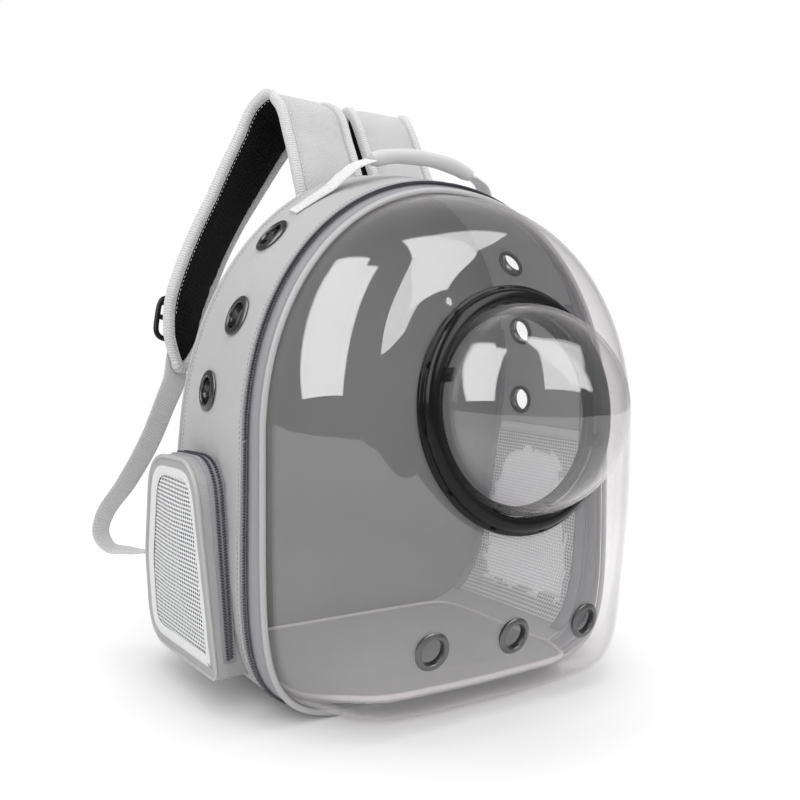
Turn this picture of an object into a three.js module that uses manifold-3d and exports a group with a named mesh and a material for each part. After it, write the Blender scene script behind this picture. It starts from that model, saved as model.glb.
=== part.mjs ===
import * as THREE from 'three';
import { mergeVertices } from 'three/addons/utils/BufferGeometryUtils.js';
import Module from 'manifold-3d';

// Bubble pet carrier backpack, in millimetres.
// The clear front faces -Y, the wearer's side faces +Y, and the bag stands on z = 0.

const wasm = await Module();
wasm.setup();

// Clearances
const gap = 0.3;
const grommetSlack = 1.6;

// D outline of the bag, front seam and back seam
const frontWidth = 363.4;
const frontHeight = 420;
const backWidth = 358.4;
const backHeight = 442;
const widestHeight = 214.6;
const crownRoundness = 2.09;
const baseSquareness = 6.24;
const floorFlat = 1.2;
const wallSwell = 5;

// Where the two seam planes stand, at the floor and at their heads
const frontFoot = -12;
const frontHead = 13;
const backFoot = 195.2;
const backHead = 120.2;

// Cloth walls and seams
const gussetWall = 2.5;
const bandWall = 3;
const bandDepth = 32;
const bandInset = 1.2;
const coilWidth = 7.5;
const coilRise = 1.4;
const coilPlace = 0.3;
const coilEnd = 6;
const pipingRadius = 2.4;
const pipingProud = 1.2;
const pipingSides = 5;
const backPadRise = 7;
const backPadRound = 9;
const backPadLip = 3.5;

// Clear front shell
const shellWall = 1.6;
const shellSkirt = 9;
const seatRadius = 104;
const seatHeight = 242.5;
const seatForward = -77;
const seatTilt = 0.14;

// Round window: ring, turning collar and dome
const ringRadius = 97;
const ringHeight = 10;
const ringRound = 5;
const ringNeckWall = 5.8;
const ringLipReach = 6;
const ringLipThickness = 2.6;
const domeRadius = 82;
const domeWall = 2.2;
const domeSink = 6;
const domeSlack = 0.9;
const collarWall = 7.4;
const collarSlack = 0.9;
const collarBack = 6;
const collarFront = 1.5;
const collarBevel = 1.5;
const tabReach = 4;
const tabThickness = 3;
const tabSlack = 0.6;
const tabCount = 4;
const tabHalfAngle = 0.16;
const releaseAngle = 0.44;

// Vent grommets
const sideGrommetRadius = 17;
const sideGrommetBore = 11;
const shellGrommetRadius = 15;
const shellGrommetBore = 10;
const grommetFlange = 1.1;
const grommetBarrel = 1.3;
const shellVentHeight = 65;
const shellVentSpacing = 79;

// Side pockets
const pocketStand = 23;
const pocketLean = 0.07;
const pocketWall = 2;
const pocketFrame = 15;
const pocketNet = 1.2;
const pocketCoilWidth = 7;
const pocketCoilRise = 1.3;
const pocketCoilPlace = 0.62;
const sideWindowMargin = 13;

// Inner net panels and the mat
const netThickness = 1;
const netFoot = 16;
const netVentGap = 11;
const netFront = 0.2;
const netBack = 0.93;
const matThickness = 5;
const matBackRoom = 14;
const matFront = -56;
const matHalfWidth = 152;
const matCorner = 30;

// Top handle
const gripRadius = 6.6;
const handleWebWidth = 20;
const handleWebThickness = 1.8;

// Shoulder straps
const strapThickness = 11;
const webWidth = 25;
const webThickness = 1.6;
const buckleWidth = 34;
const buckleHeight = 46;
const buckleThickness = 6;
const buckleBar = 5;
const buckleOut = -2;
const buckleTurn = 30;
const buckleSection = 19;
const buckleLift = 0.8;

// Slider of the main zip
const sliderLength = 16;
const sliderWidth = 9;
const sliderThickness = 3.4;
const sliderSlack = 0.6;

// Edges shorter than this are merged after a cut
const sliver = 0.02;

// How finely the round forms are faceted
const outlineSides = 36;
const ringSides = 28;
const grommetSides = 12;
const domeSteps = 7;

// Middle of the cloth floor, which is the object's origin.
const floorMiddle = (frontFoot + bandDepth + backFoot) / 2;

// Share of the bag's depth taken by the zipper band.
const seamDepth = bandDepth / (backFoot - frontFoot);

// Swell of the gusset beyond the straight line from seam to seam, as a share of wallSwell.
const swellRows = [
  { depth: 0, swell: 0 },
  { depth: seamDepth, swell: 1 },
  { depth: 0.6, swell: 0.95 },
  { depth: 0.85, swell: 0.55 },
  { depth: 1, swell: 0 },
];

// Sections of the clear shell from its rim (0) to the window seat (1).
// forward is the share of the way to the front; side, foot and crown are the share of the
// way inwards at the sides, along the floor and over the crown.
const shellRows = [
  { forward: 0.22, side: 0.06, foot: 0.002, crown: 0.045 },
  { forward: 0.44, side: 0.16, foot: 0.008, crown: 0.12 },
  { forward: 0.64, side: 0.29, foot: 0.032, crown: 0.23 },
  { forward: 0.8, side: 0.43, foot: 0.1, crown: 0.38 },
  { forward: 0.91, side: 0.58, foot: 0.5, crown: 0.55 },
  { forward: 0.975, side: 0.75, foot: 0.8, crown: 0.76 },
  { forward: 1, side: 1, foot: 1, crown: 1 },
];

// Vent holes of the gusset: side (-1 left, 1 right), angle up from the level of the widest
// height, and share of the depth.
const sideVents = [
  { name: 'left_top', side: -1, angle: 0.78, depth: 0.644 },
  { name: 'left_middle', side: -1, angle: 0.415, depth: 0.477 },
  { name: 'left_low', side: -1, angle: 0.128, depth: 0.614 },
  { name: 'right_top', side: 1, angle: 0.768, depth: 0.67 },
  { name: 'right_middle', side: 1, angle: 0.399, depth: 0.767 },
  { name: 'right_low', side: 1, angle: 0.073, depth: 0.776 },
];

// Corners of the pocket outline: share of the gusset's depth, height and corner radius.
const pocketCorners = [
  { name: 'front foot', depth: 0.195, height: 27, radius: 9 },
  { name: 'back foot', depth: 0.905, height: 24, radius: 44 },
  { name: 'back waist', depth: 0.98, height: 100, radius: 70 },
  { name: 'back head', depth: 0.925, height: 190, radius: 45 },
  { name: 'front head', depth: 0.345, height: 195, radius: 36 },
];

// Centre line of one shoulder pad, from the back panel over the top to its tip.
// out is the distance from the middle, back is behind the back panel, turn is the
// angle of the pad's width seen from above, and width is a share of strapWidth.
const strapWidth = 70;
const strapRows = [
  { out: 42, back: 0, height: 388, turn: 0, width: 1 },
  { out: 42, back: 5, height: 408, turn: 0, width: 1.02 },
  { out: 43, back: 19, height: 436, turn: 0, width: 1.04 },
  { out: 42, back: 50, height: 478, turn: 0, width: 1.02 },
  { out: 42, back: 78, height: 511, turn: 0, width: 1.02 },
  { out: 47, back: 100, height: 519, turn: 2, width: 1 },
  { out: 56, back: 115, height: 506, turn: 7, width: 0.97 },
  { out: 71, back: 118, height: 474, turn: 17, width: 0.93 },
  { out: 102, back: 112, height: 412, turn: 29, width: 0.9 },
  { out: 123, back: 103, height: 369, turn: 33, width: 0.9 },
  { out: 144, back: 86, height: 317, turn: 33, width: 0.86 },
  { out: 151, back: 73, height: 285, turn: 27, width: 0.64 },
  { out: 154, back: 65, height: 262, turn: 20, width: 0.24 },
];

// Centre line of the webbing from behind the pad's tip to the foot of the back panel.
// tip turns its width from level (0) to standing up along the panel (90).
const webRows = [
  { out: 152, back: 87, height: 280, turn: 26, tip: 0 },
  { out: 155, back: 79, height: 264, turn: 22, tip: 0 },
  { out: 160, back: 68, height: 246, turn: 18, tip: 0 },
  { out: 170, back: 59, height: 226, turn: 20, tip: 0 },
  { out: 187, back: 48, height: 189, turn: 22, tip: 0 },
  { out: 209, back: 37, height: 154, turn: 26, tip: 0 },
  { out: 229, back: 28.5, height: 128, turn: 32, tip: 0 },
  { out: 233, back: 23.5, height: 111, turn: 40, tip: 0 },
  { out: 225, back: 18.5, height: 98.5, turn: 48, tip: 0 },
  { out: 209, back: 14.5, height: 94.5, turn: 52, tip: 2 },
  { out: 194, back: 10, height: 92.5, turn: 50, tip: 12 },
  { out: 180, back: 5, height: 90.5, turn: 20, tip: 55 },
  { out: 166, back: 0.6, height: 89, turn: 0, tip: 86 },
  { out: 138, back: 0, height: 88, turn: 0, tip: 90 },
];

// Centre line of the grip and of the webbing that carries it.
const gripRows = [
  { across: -48, rise: 16.5, depth: 0.47 },
  { across: -27, rise: 17.5, depth: 0.47 },
  { across: 0, rise: 17.5, depth: 0.47 },
  { across: 27, rise: 17.5, depth: 0.47 },
  { across: 48, rise: 16.5, depth: 0.47 },
];
const handleLegRows = [
  { across: 48.7, rise: 16.3, depth: 0.47 },
  { across: 62, rise: 14.6, depth: 0.48 },
  { across: 72, rise: 9.5, depth: 0.52 },
  { across: 84, rise: 3.2, depth: 0.58 },
  { across: 96, rise: 1.3, depth: 0.62 },
  { across: 112, rise: 1.3, depth: 0.66 },
];

const turnRound = 2 * Math.PI;
const degree = Math.PI / 180;

function mix(a, b, share) {
  return a + (b - a) * share;
}

function steps(count) {
  return Array.from({ length: count }, (_, index) => index);
}

function swellAt(depth) {
  const next = Math.max(1, swellRows.findIndex((row) => row.depth >= depth));
  const low = swellRows[next - 1];
  const high = swellRows[next];
  return wallSwell * mix(low.swell, high.swell, (depth - low.depth) / (high.depth - low.depth));
}

// The D outline as a point of x and z, at an angle round it and a share of the bag's depth.
function outlineAt(angle, depth) {
  const across = Math.cos(angle);
  const up = Math.sin(angle);
  const swell = swellAt(Math.min(Math.max(depth, 0), 1));
  const halfWidth = mix(frontWidth, backWidth, depth) / 2 + swell;
  const rise = mix(frontHeight, backHeight, depth) + swell - widestHeight;
  const drop = widestHeight + floorFlat;
  const power = 2 / (up > 0 ? crownRoundness : baseSquareness);
  const x = halfWidth * Math.sign(across) * Math.abs(across) ** power;
  const z = widestHeight + (up > 0 ? rise : drop) * Math.sign(up) * Math.abs(up) ** power;
  return new THREE.Vector2(x, Math.max(z, 0));
}

function outlineNormal(angle, depth) {
  const nudge = 0.004;
  const tangent = outlineAt(angle + nudge, depth).sub(outlineAt(angle - nudge, depth));
  return new THREE.Vector2(tangent.y, -tangent.x).normalize();
}

function frontPlane(height) {
  return mix(frontFoot, frontHead, height / frontHeight);
}

function backPlane(height) {
  return mix(backFoot, backHead, height / backHeight);
}

function depthToY(depth, height) {
  return mix(frontPlane(height), backPlane(height), depth);
}

// A point on the bag's wall, inset from the outline and shifted behind its plane.
function bodyPoint(angle, depth, inset = 0, behind = 0) {
  const point = outlineAt(angle, depth);
  point.addScaledVector(outlineNormal(angle, depth), -inset);
  const z = Math.max(point.y, 0);
  return new THREE.Vector3(point.x, depthToY(depth, z) + behind, z);
}

// A closed body whose faces join one ring of points to the next. Its ends are closed by
// fans, or joined to each other when the loft is endless. Each face is split in two from its
// first corner, or from its second where crossed says so.
function loft(rings, endless = false, crossed = () => false) {
  const size = rings[0].length;
  const positions = rings.flat().flatMap((point) => [point.x, point.y, point.z]);
  const faces = [];
  const last = endless ? rings.length : rings.length - 1;
  for (const ring of steps(last)) {
    const next = (ring + 1) % rings.length;
    for (const index of steps(size)) {
      const after = (index + 1) % size;
      const a = ring * size + index;
      const b = ring * size + after;
      const c = next * size + after;
      const d = next * size + index;
      faces.push(...(crossed(index) ? [a, b, d, b, c, d] : [a, b, c, a, c, d]));
    }
  }
  if (!endless) {
    closeEnd(positions, faces, rings[0], 0, true);
    closeEnd(positions, faces, rings[rings.length - 1], (rings.length - 1) * size, false);
  }
  const geometry = new THREE.BufferGeometry();
  geometry.setAttribute('position', new THREE.Float32BufferAttribute(positions, 3));
  geometry.setIndex(faces);
  return facedOut(geometry);
}

function closeEnd(positions, faces, ring, start, reverse) {
  const middle = new THREE.Vector3();
  ring.forEach((point) => middle.addScaledVector(point, 1 / ring.length));
  const centre = positions.length / 3;
  positions.push(middle.x, middle.y, middle.z);
  for (const index of steps(ring.length)) {
    const after = (index + 1) % ring.length;
    const pair = reverse ? [start + after, start + index] : [start + index, start + after];
    faces.push(pair[0], pair[1], centre);
  }
}

function signedVolume(geometry) {
  const place = geometry.getAttribute('position');
  const index = geometry.getIndex();
  const corner = [new THREE.Vector3(), new THREE.Vector3(), new THREE.Vector3()];
  let total = 0;
  for (let face = 0; face < index.count; face += 3) {
    corner.forEach((point, offset) => point.fromBufferAttribute(place, index.getX(face + offset)));
    total += corner[0].dot(corner[1].clone().cross(corner[2])) / 6;
  }
  return total;
}

function flipped(geometry) {
  const index = geometry.getIndex().array;
  for (let face = 0; face < index.length; face += 3) {
    const kept = index[face + 1];
    index[face + 1] = index[face + 2];
    index[face + 2] = kept;
  }
  return geometry;
}

function facedOut(geometry) {
  return signedVolume(geometry) < 0 ? flipped(geometry) : geometry;
}

// Only positions, with shared corners merged, so that the mesh is one closed surface.
function welded(geometry) {
  const plain = geometry.clone();
  plain.deleteAttribute('normal');
  plain.deleteAttribute('uv');
  return mergeVertices(plain, 1e-4);
}

function solidOf(geometry) {
  const plain = welded(geometry);
  const mesh = new wasm.Mesh({
    numProp: 3,
    vertProperties: new Float32Array(plain.getAttribute('position').array),
    triVerts: new Uint32Array(plain.getIndex().array),
  });
  return new wasm.Manifold(mesh);
}

function geometryOf(solid) {
  const mesh = solid.simplify(sliver).getMesh();
  const geometry = new THREE.BufferGeometry();
  geometry.setAttribute('position', new THREE.Float32BufferAttribute(mesh.vertProperties, 3));
  geometry.setIndex(Array.from(mesh.triVerts));
  return geometry;
}

function cut(geometry, tools) {
  return geometryOf(tools.reduce((rest, tool) => rest.subtract(solidOf(tool)), solidOf(geometry)));
}

function common(geometry, other) {
  return geometryOf(solidOf(geometry).intersect(solidOf(other)));
}

function mirrored(geometry) {
  return flipped(welded(geometry).applyMatrix4(new THREE.Matrix4().makeScale(-1, 1, 1)));
}

const frontDepth = backFoot - frontFoot;
const outlineAngles = steps(outlineSides).map((index) => (turnRound * index) / outlineSides);

// A cloth band round the D: each row of the profile gives depth, inset and behind.
function outlineBand(profile) {
  const rings = outlineAngles.map((angle) => (
    profile.map((row) => bodyPoint(angle, row.depth, row.inset, row.behind ?? 0))
  ));
  const place = (row) => row.depth * frontDepth + (row.behind ?? 0);
  const after = (index) => profile[(index + 1) % profile.length];
  return loft(rings, true, (index) => place(after(index)) < place(profile[index]));
}

// A solid plug of the whole D, from its first row to its last.
function outlinePlug(profile) {
  return loft(profile.map((row) => (
    outlineAngles.map((angle) => bodyPoint(angle, row.depth, row.inset, row.behind ?? 0))
  )));
}

function box(width, depth, height, x, y, z) {
  return new THREE.BoxGeometry(width, depth, height).translate(x, y, z);
}

// Wall and floor of the bag

const wallDepths = swellRows.slice(1).map((row) => row.depth);

function gussetBlank() {
  const wallRow = (depth, inset) => ({ depth, inset, behind: depth === seamDepth ? gap : 0 });
  const outside = wallDepths.map((depth) => wallRow(depth, 0));
  const inside = wallDepths.map((depth) => wallRow(depth, gussetWall));
  return outlineBand([...outside, ...inside.reverse()]);
}

// Everything inside the bag's outer skin, grown or shrunk by inset.
function bagEnvelope(inset) {
  const rows = [0, ...wallDepths].map((depth) => ({ depth, inset }));
  return outlinePlug(rows);
}

function roundedLoop(corners) {
  const loop = [];
  corners.forEach((corner, index) => {
    const before = corners[(index + corners.length - 1) % corners.length].place;
    const after = corners[(index + 1) % corners.length].place;
    const back = before.clone().sub(corner.place).normalize();
    const ahead = after.clone().sub(corner.place).normalize();
    const half = Math.acos(THREE.MathUtils.clamp(back.dot(ahead), -1, 1)) / 2;
    const room = Math.min(before.distanceTo(corner.place), after.distanceTo(corner.place));
    const reach = Math.min(corner.radius / Math.tan(half), 0.45 * room);
    const start = corner.place.clone().addScaledVector(back, reach);
    const end = corner.place.clone().addScaledVector(ahead, reach);
    const arcSteps = Math.max(2, Math.round((Math.PI - 2 * half) / 0.32));
    for (const step of steps(arcSteps + 1)) {
      const share = step / arcSteps;
      const first = start.clone().lerp(corner.place, share);
      const second = corner.place.clone().lerp(end, share);
      loop.push(first.lerp(second, share));
    }
  });
  return loop;
}

// The loop moved inwards by a distance, each corner along its mitre.
function insetLoop(loop, distance) {
  return loop.map((point, index) => {
    const before = loop[(index + loop.length - 1) % loop.length];
    const after = loop[(index + 1) % loop.length];
    const first = point.clone().sub(before).normalize();
    const second = after.clone().sub(point).normalize();
    const inward = new THREE.Vector2(-first.y - second.y, first.x + second.x).normalize();
    const stretch = 1 / Math.max(0.5, inward.dot(new THREE.Vector2(-first.y, first.x)));
    return point.clone().addScaledVector(inward, distance * stretch);
  });
}

const pocketLoop = roundedLoop(pocketCorners.map((corner) => ({
  place: new THREE.Vector2(depthToY(corner.depth, corner.height), corner.height),
  radius: corner.radius,
})));
const pocketMiddle = 110;
const wallHalfWidth = frontWidth / 2;

// A prism of a loop in y and z, from one distance out from the bag's side to another.
// It leans with the pocket: further out at the head than at the foot.
function sidePrism(loop, inner, outer) {
  const ringAt = (stand) => loop.map((point) => {
    const lean = pocketLean * (point.y - pocketMiddle) * Math.max(0, stand / pocketStand);
    return new THREE.Vector3(wallHalfWidth + stand + lean, point.x, point.y);
  });
  return loft([ringAt(inner), ringAt(outer)]);
}

const deepInside = -60;
const farOutside = 60;
const sideWindow = sidePrism(insetLoop(pocketLoop, sideWindowMargin), deepInside, farOutside);
const pastPocket = bagEnvelope(-gap);

// Pocket: a tray of cloth whose face is a frame round the net, open towards the bag.
function pocketBody() {
  const outer = sidePrism(pocketLoop, deepInside / 2, pocketStand);
  const hollow = sidePrism(insetLoop(pocketLoop, pocketWall), deepInside, pocketStand - pocketWall);
  const window = sidePrism(insetLoop(pocketLoop, pocketFrame), deepInside, farOutside);
  return cut(outer, [hollow, window, pastPocket]);
}

function pocketNetPanel() {
  const loop = insetLoop(pocketLoop, pocketFrame + gap);
  return sidePrism(loop, pocketStand - pocketWall + gap, pocketStand - pocketWall + gap + pocketNet);
}

// The zip runs round the front and head of the pocket's wall.
function pocketCoilStrip() {
  const middle = pocketStand * (1 - pocketCoilPlace);
  const low = middle - pocketCoilWidth / 2;
  const high = middle + pocketCoilWidth / 2;
  const ring = cut(sidePrism(insetLoop(pocketLoop, -gap - pocketCoilRise), low, high), [
    sidePrism(insetLoop(pocketLoop, -gap), deepInside, farOutside),
    pastPocket,
  ]);
  const start = pocketCorners[0].height + pocketCorners[0].radius;
  const backY = depthToY(0.8, pocketCorners[3].height);
  const keep = [
    new THREE.Vector2(frontFoot, start),
    new THREE.Vector2(depthToY(0.5, start), start),
    new THREE.Vector2(backY, pocketCorners[3].height - 2 * pocketCorners[3].radius),
    new THREE.Vector2(backY, pocketCorners[3].height + farOutside),
    new THREE.Vector2(frontFoot, pocketCorners[3].height + farOutside),
  ];
  return common(ring, sidePrism(keep, deepInside, farOutside));
}

// Clear shell

const seatTiltAxis = new THREE.Vector3(0, -Math.cos(seatTilt), Math.sin(seatTilt));
const seatUp = new THREE.Vector3(0, Math.sin(seatTilt), Math.cos(seatTilt));
const seatCentre = new THREE.Vector3(0, seatForward, seatHeight);
const seatFrame = new THREE.Matrix4()
  .makeBasis(new THREE.Vector3(1, 0, 0), seatUp, seatTiltAxis)
  .setPosition(seatCentre);
const ringBore = domeRadius + domeSlack;
const ringNeckRadius = ringBore + ringNeckWall;
const windowHoleRadius = ringNeckRadius + gap;
const shellHoleCut = 10;
const shellInset = Math.max(pipingRadius * 2 - pipingProud, bandInset + bandWall) + gap;

function seatPoint(angle, radius) {
  const rim = outlineAt(angle, 0);
  const seen = Math.atan2(rim.y - seatHeight, rim.x);
  const turned = Math.atan2(Math.sin(angle), Math.cos(angle));
  const apart = Math.atan2(Math.sin(seen - turned), Math.cos(seen - turned));
  const place = turned + apart / 2;
  const point = seatCentre.clone();
  point.x += radius * Math.cos(place);
  return point.addScaledVector(seatUp, radius * Math.sin(place));
}

function shareInwards(row, angle) {
  const up = Math.max(0, Math.sin(angle));
  const down = Math.max(0, -Math.sin(angle));
  return mix(mix(row.side, row.crown, up * up * (3 - 2 * up)), row.foot, down ** 3);
}

function shellOuterRings() {
  const rows = [
    outlineAngles.map((angle) => bodyPoint(angle, 0, shellInset, shellSkirt)),
    outlineAngles.map((angle) => bodyPoint(angle, 0, shellInset)),
  ];
  for (const row of shellRows) {
    rows.push(outlineAngles.map((angle) => {
      const rim = bodyPoint(angle, 0, shellInset);
      const seat = seatPoint(angle, seatRadius);
      const inward = shareInwards(row, angle);
      return new THREE.Vector3(
        mix(rim.x, seat.x, inward),
        mix(rim.y, seat.y, row.forward),
        mix(rim.z, seat.z, inward),
      );
    }));
  }
  rows.push(outlineAngles.map((angle) => seatPoint(angle, windowHoleRadius - shellHoleCut)));
  return rows;
}

// Each ring moved inwards by a wall thickness, square to the surface.
function insetRings(rings, wall) {
  const size = outlineSides;
  return rings.map((ring, row) => ring.map((point, index) => {
    const left = ring[(index + size - 1) % size];
    const right = ring[(index + 1) % size];
    const behind = rings[Math.max(0, row - 1)][index];
    const ahead = rings[Math.min(rings.length - 1, row + 1)][index];
    const normal = right.clone().sub(left).cross(ahead.clone().sub(behind)).normalize();
    if (normal.dot(point.clone().sub(new THREE.Vector3(0, frontDepth / 2, widestHeight))) < 0) {
      normal.negate();
    }
    return point.clone().addScaledVector(normal, -wall);
  }));
}

const shellRings = shellOuterRings();

function shellBlank() {
  const inside = insetRings(shellRings, shellWall);
  inside[0] = outlineAngles.map((angle) => bodyPoint(angle, 0, shellInset + shellWall, shellSkirt));
  inside[1] = outlineAngles.map((angle) => bodyPoint(angle, 0, shellInset + shellWall));
  const sections = outlineAngles.map((_, index) => (
    [...shellRings.map((ring) => ring[index]), ...inside.map((ring) => ring[index]).reverse()]
  ));
  return loft(sections, true, (index) => index >= shellRings.length - 1);
}

// Space inside the shell, kept clear of its wall by the given distance.
function shellEnvelope(clearance) {
  const inside = insetRings(shellRings, shellWall + clearance).slice(1, -2);
  const inset = shellInset + shellWall + clearance;
  inside[0] = outlineAngles.map((angle) => bodyPoint(angle, 0, inset));
  return loft([outlineAngles.map((angle) => bodyPoint(angle, 0, inset, bandDepth)), ...inside]);
}

// Round pieces turned about their own Z axis

function turned(profile, sides) {
  const points = profile.map(([radius, height]) => new THREE.Vector2(radius, height));
  points.push(points[0].clone());
  const geometry = welded(new THREE.LatheGeometry(points, sides).rotateX(Math.PI / 2));
  return facedOut(geometry);
}

// A grommet gripping a wall of the given thickness, its face towards +Z, wall surface at 0.
function grommet(radius, bore, wall, slack) {
  const barrel = bore + grommetBarrel;
  const back = -wall - slack;
  return turned([
    [bore, gap + grommetFlange * 1.5],
    [radius, gap + grommetFlange * 0.5],
    [radius, gap],
    [barrel, gap],
    [barrel, back],
    [radius - 2 * grommetFlange, back],
    [bore, back - grommetFlange],
  ], grommetSides);
}

function ventHole(bore, length) {
  const radius = bore + grommetBarrel + gap;
  return welded(new THREE.CylinderGeometry(radius, radius, length, grommetSides).rotateX(Math.PI / 2));
}

function placedAt(place, facing) {
  const turn = new THREE.Quaternion().setFromUnitVectors(new THREE.Vector3(0, 0, 1), facing);
  return new THREE.Matrix4().compose(place, turn, new THREE.Vector3(1, 1, 1));
}

// Where each side vent sits on the gusset, and the way it faces.
function sideVentPlace(row) {
  const angle = row.side > 0 ? row.angle : Math.PI - row.angle;
  const nudge = 0.05;
  const place = bodyPoint(angle, row.depth);
  const round = bodyPoint(angle + nudge, row.depth).sub(bodyPoint(angle - nudge, row.depth));
  const deep = bodyPoint(angle, row.depth + nudge).sub(bodyPoint(angle, row.depth - nudge));
  const facing = deep.cross(round).normalize();
  return { place, facing };
}

// Where a vent of the shell sits: found on the shell's outer rings by casting towards +Y.
function shellVentPlace(shell, across) {
  const probe = new THREE.Mesh(shell, new THREE.MeshBasicMaterial({ side: THREE.DoubleSide }));
  probe.updateMatrixWorld();
  const far = new THREE.Vector3(across, seatForward - frontHeight, shellVentHeight);
  const caster = new THREE.Raycaster(far, new THREE.Vector3(0, 1, 0));
  const touch = caster.intersectObject(probe)[0];
  const ends = [-shellGrommetBore, shellGrommetBore].map((step) => {
    const start = far.clone().add(new THREE.Vector3(step, 0, 0));
    return new THREE.Raycaster(start, new THREE.Vector3(0, 1, 0)).intersectObject(probe)[0].point;
  });
  const heads = [-shellGrommetBore, shellGrommetBore].map((step) => {
    const start = far.clone().add(new THREE.Vector3(0, 0, step));
    return new THREE.Raycaster(start, new THREE.Vector3(0, 1, 0)).intersectObject(probe)[0].point;
  });
  const facing = ends[1].clone().sub(ends[0]).cross(heads[1].clone().sub(heads[0])).normalize();
  return { place: touch.point, facing };
}

// Straps and webbing

// A flat band along a curve. Each section has a centre, the direction of its width, a width
// and a thickness. The corners are shares of half the width and half the thickness.
const squareCorners = [[1, 1], [-1, 1], [-1, -1], [1, -1]];
const softCorners = [
  [1, 0.3], [0.88, 1], [-0.88, 1], [-1, 0.3], [-1, -0.3], [-0.88, -1], [0.88, -1], [1, -0.3],
];

function ribbon(sections, corners) {
  return loft(sections.map((section) => corners.map(([across, out]) => (
    section.centre.clone()
      .addScaledVector(section.along, (across * section.width) / 2)
      .addScaledVector(section.face, (out * section.thickness) / 2)
  ))));
}

// Sections worked out along a smooth curve through the rows.
function smoothSections(rows, count, place, direction, widthAt, thickness) {
  const curve = new THREE.CatmullRomCurve3(rows.map(place), false, 'centripetal');
  return steps(count + 1).map((step) => {
    const share = step / count;
    const position = share * (rows.length - 1);
    const low = Math.min(Math.floor(position), rows.length - 2);
    const part = position - low;
    const blend = (key) => mix(rows[low][key] ?? 0, rows[low + 1][key] ?? 0, part);
    const tangent = curve.getTangent(share);
    const wanted = direction(blend);
    const along = wanted.addScaledVector(tangent, -wanted.dot(tangent)).normalize();
    const face = tangent.clone().cross(along).normalize();
    return { centre: curve.getPoint(share), along, face, width: widthAt(blend), thickness };
  });
}

const panelUp = new THREE.Vector3(0, (backHead - backFoot) / backHeight, 1).normalize();

function behindPanel(row, thickness) {
  const y = backPlane(row.height) + backPadRise + gap + thickness / 2 + row.back;
  return new THREE.Vector3(row.out, y, row.height);
}

// The width of a strap lies level and is turned by an angle seen from above; tip stands it up.
function strapDirection(blend) {
  const turn = blend('turn') * degree;
  const tip = blend('tip') * degree;
  const level = new THREE.Vector3(Math.cos(turn), -Math.sin(turn), 0);
  return level.multiplyScalar(Math.cos(tip)).addScaledVector(panelUp, Math.sin(tip));
}

const strapSections = smoothSections(
  strapRows,
  22,
  (row) => behindPanel(row, strapThickness),
  strapDirection,
  (blend) => strapWidth * blend('width'),
  strapThickness,
);

const webSections = smoothSections(
  webRows,
  28,
  (row) => behindPanel(row, webThickness),
  strapDirection,
  () => webWidth,
  webThickness,
);

// Ladder-lock buckle: a plate with two slots, standing off the pad's outer face near its tip.
function buckle() {
  const section = strapSections[buckleSection];
  const plate = box(buckleWidth, buckleHeight, buckleThickness, 0, 0, 0);
  const slotHeight = (buckleHeight - 3 * buckleBar) / 2;
  const slotStep = (slotHeight + buckleBar) / 2;
  const slotWidth = buckleWidth - 2 * buckleBar;
  const slots = [-slotStep, slotStep].map((y) => (
    box(slotWidth, slotHeight, 2 * buckleThickness, 0, y, 0)
  ));
  const up = section.face.clone().cross(section.along);
  const sine = Math.sin(buckleTurn * degree);
  const cosine = Math.cos(buckleTurn * degree);
  const across = section.along.clone().multiplyScalar(cosine).addScaledVector(section.face, -sine);
  const stand = (buckleWidth * sine + buckleThickness * cosine) / 2;
  const place = section.centre.clone()
    .addScaledVector(section.along, buckleOut)
    .addScaledVector(section.face, -strapThickness / 2 - buckleLift - stand);
  const frame = new THREE.Matrix4().makeBasis(across, up, across.clone().cross(up)).setPosition(place);
  return cut(plate, slots).applyMatrix4(frame);
}

// Handle

function handlePlace(row) {
  const share = Math.min(1, Math.abs((2 * row.across) / frontWidth));
  const angle = Math.acos(Math.sign(row.across) * share ** (crownRoundness / 2));
  const base = bodyPoint(angle, row.depth);
  const out = outlineNormal(angle, row.depth);
  return new THREE.Vector3(base.x + out.x * row.rise, base.y, base.z + out.y * row.rise);
}

function handleGrip() {
  const curve = new THREE.CatmullRomCurve3(gripRows.map(handlePlace), false, 'centripetal');
  const section = new THREE.Shape();
  section.absarc(0, 0, gripRadius, 0, turnRound, false);
  return welded(new THREE.ExtrudeGeometry(section, {
    extrudePath: curve,
    steps: 9,
    curveSegments: 5,
    bevelEnabled: false,
  }));
}

function handleLeg() {
  const slant = (blend) => {
    const across = blend('across');
    const depth = blend('depth');
    const front = handlePlace({ across, rise: 0, depth: depth - 0.05 });
    return handlePlace({ across, rise: 0, depth: depth + 0.05 }).sub(front);
  };
  const width = () => handleWebWidth;
  const sections = smoothSections(handleLegRows, 9, handlePlace, slant, width, handleWebThickness);
  return ribbon(sections, squareCorners);
}

// Window pieces, about the axis of the window seat

const grooveBack = collarFront - tabThickness - 2 * tabSlack;
const grooveFront = collarFront;
const grooveRadius = ringBore + tabReach;

function sector(inner, outer, low, high, halfAngle, middle) {
  const corners = [
    [inner, -halfAngle],
    [outer, -halfAngle],
    [outer, 0],
    [outer, halfAngle],
    [inner, halfAngle],
  ].map(([radius, angle]) => (
    new THREE.Vector2(radius * Math.cos(middle + angle), radius * Math.sin(middle + angle))
  ));
  return loft([low, high].map((height) => (
    corners.map((corner) => new THREE.Vector3(corner.x, corner.y, height))
  )));
}

function tabSectors(low, high, halfAngle, turn) {
  const far = grooveRadius / Math.cos(halfAngle);
  return steps(tabCount).map((index) => (
    sector(ringBore - 2, far, low, high, halfAngle, turn + (turnRound * (index + 0.5)) / tabCount)
  ));
}

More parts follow.
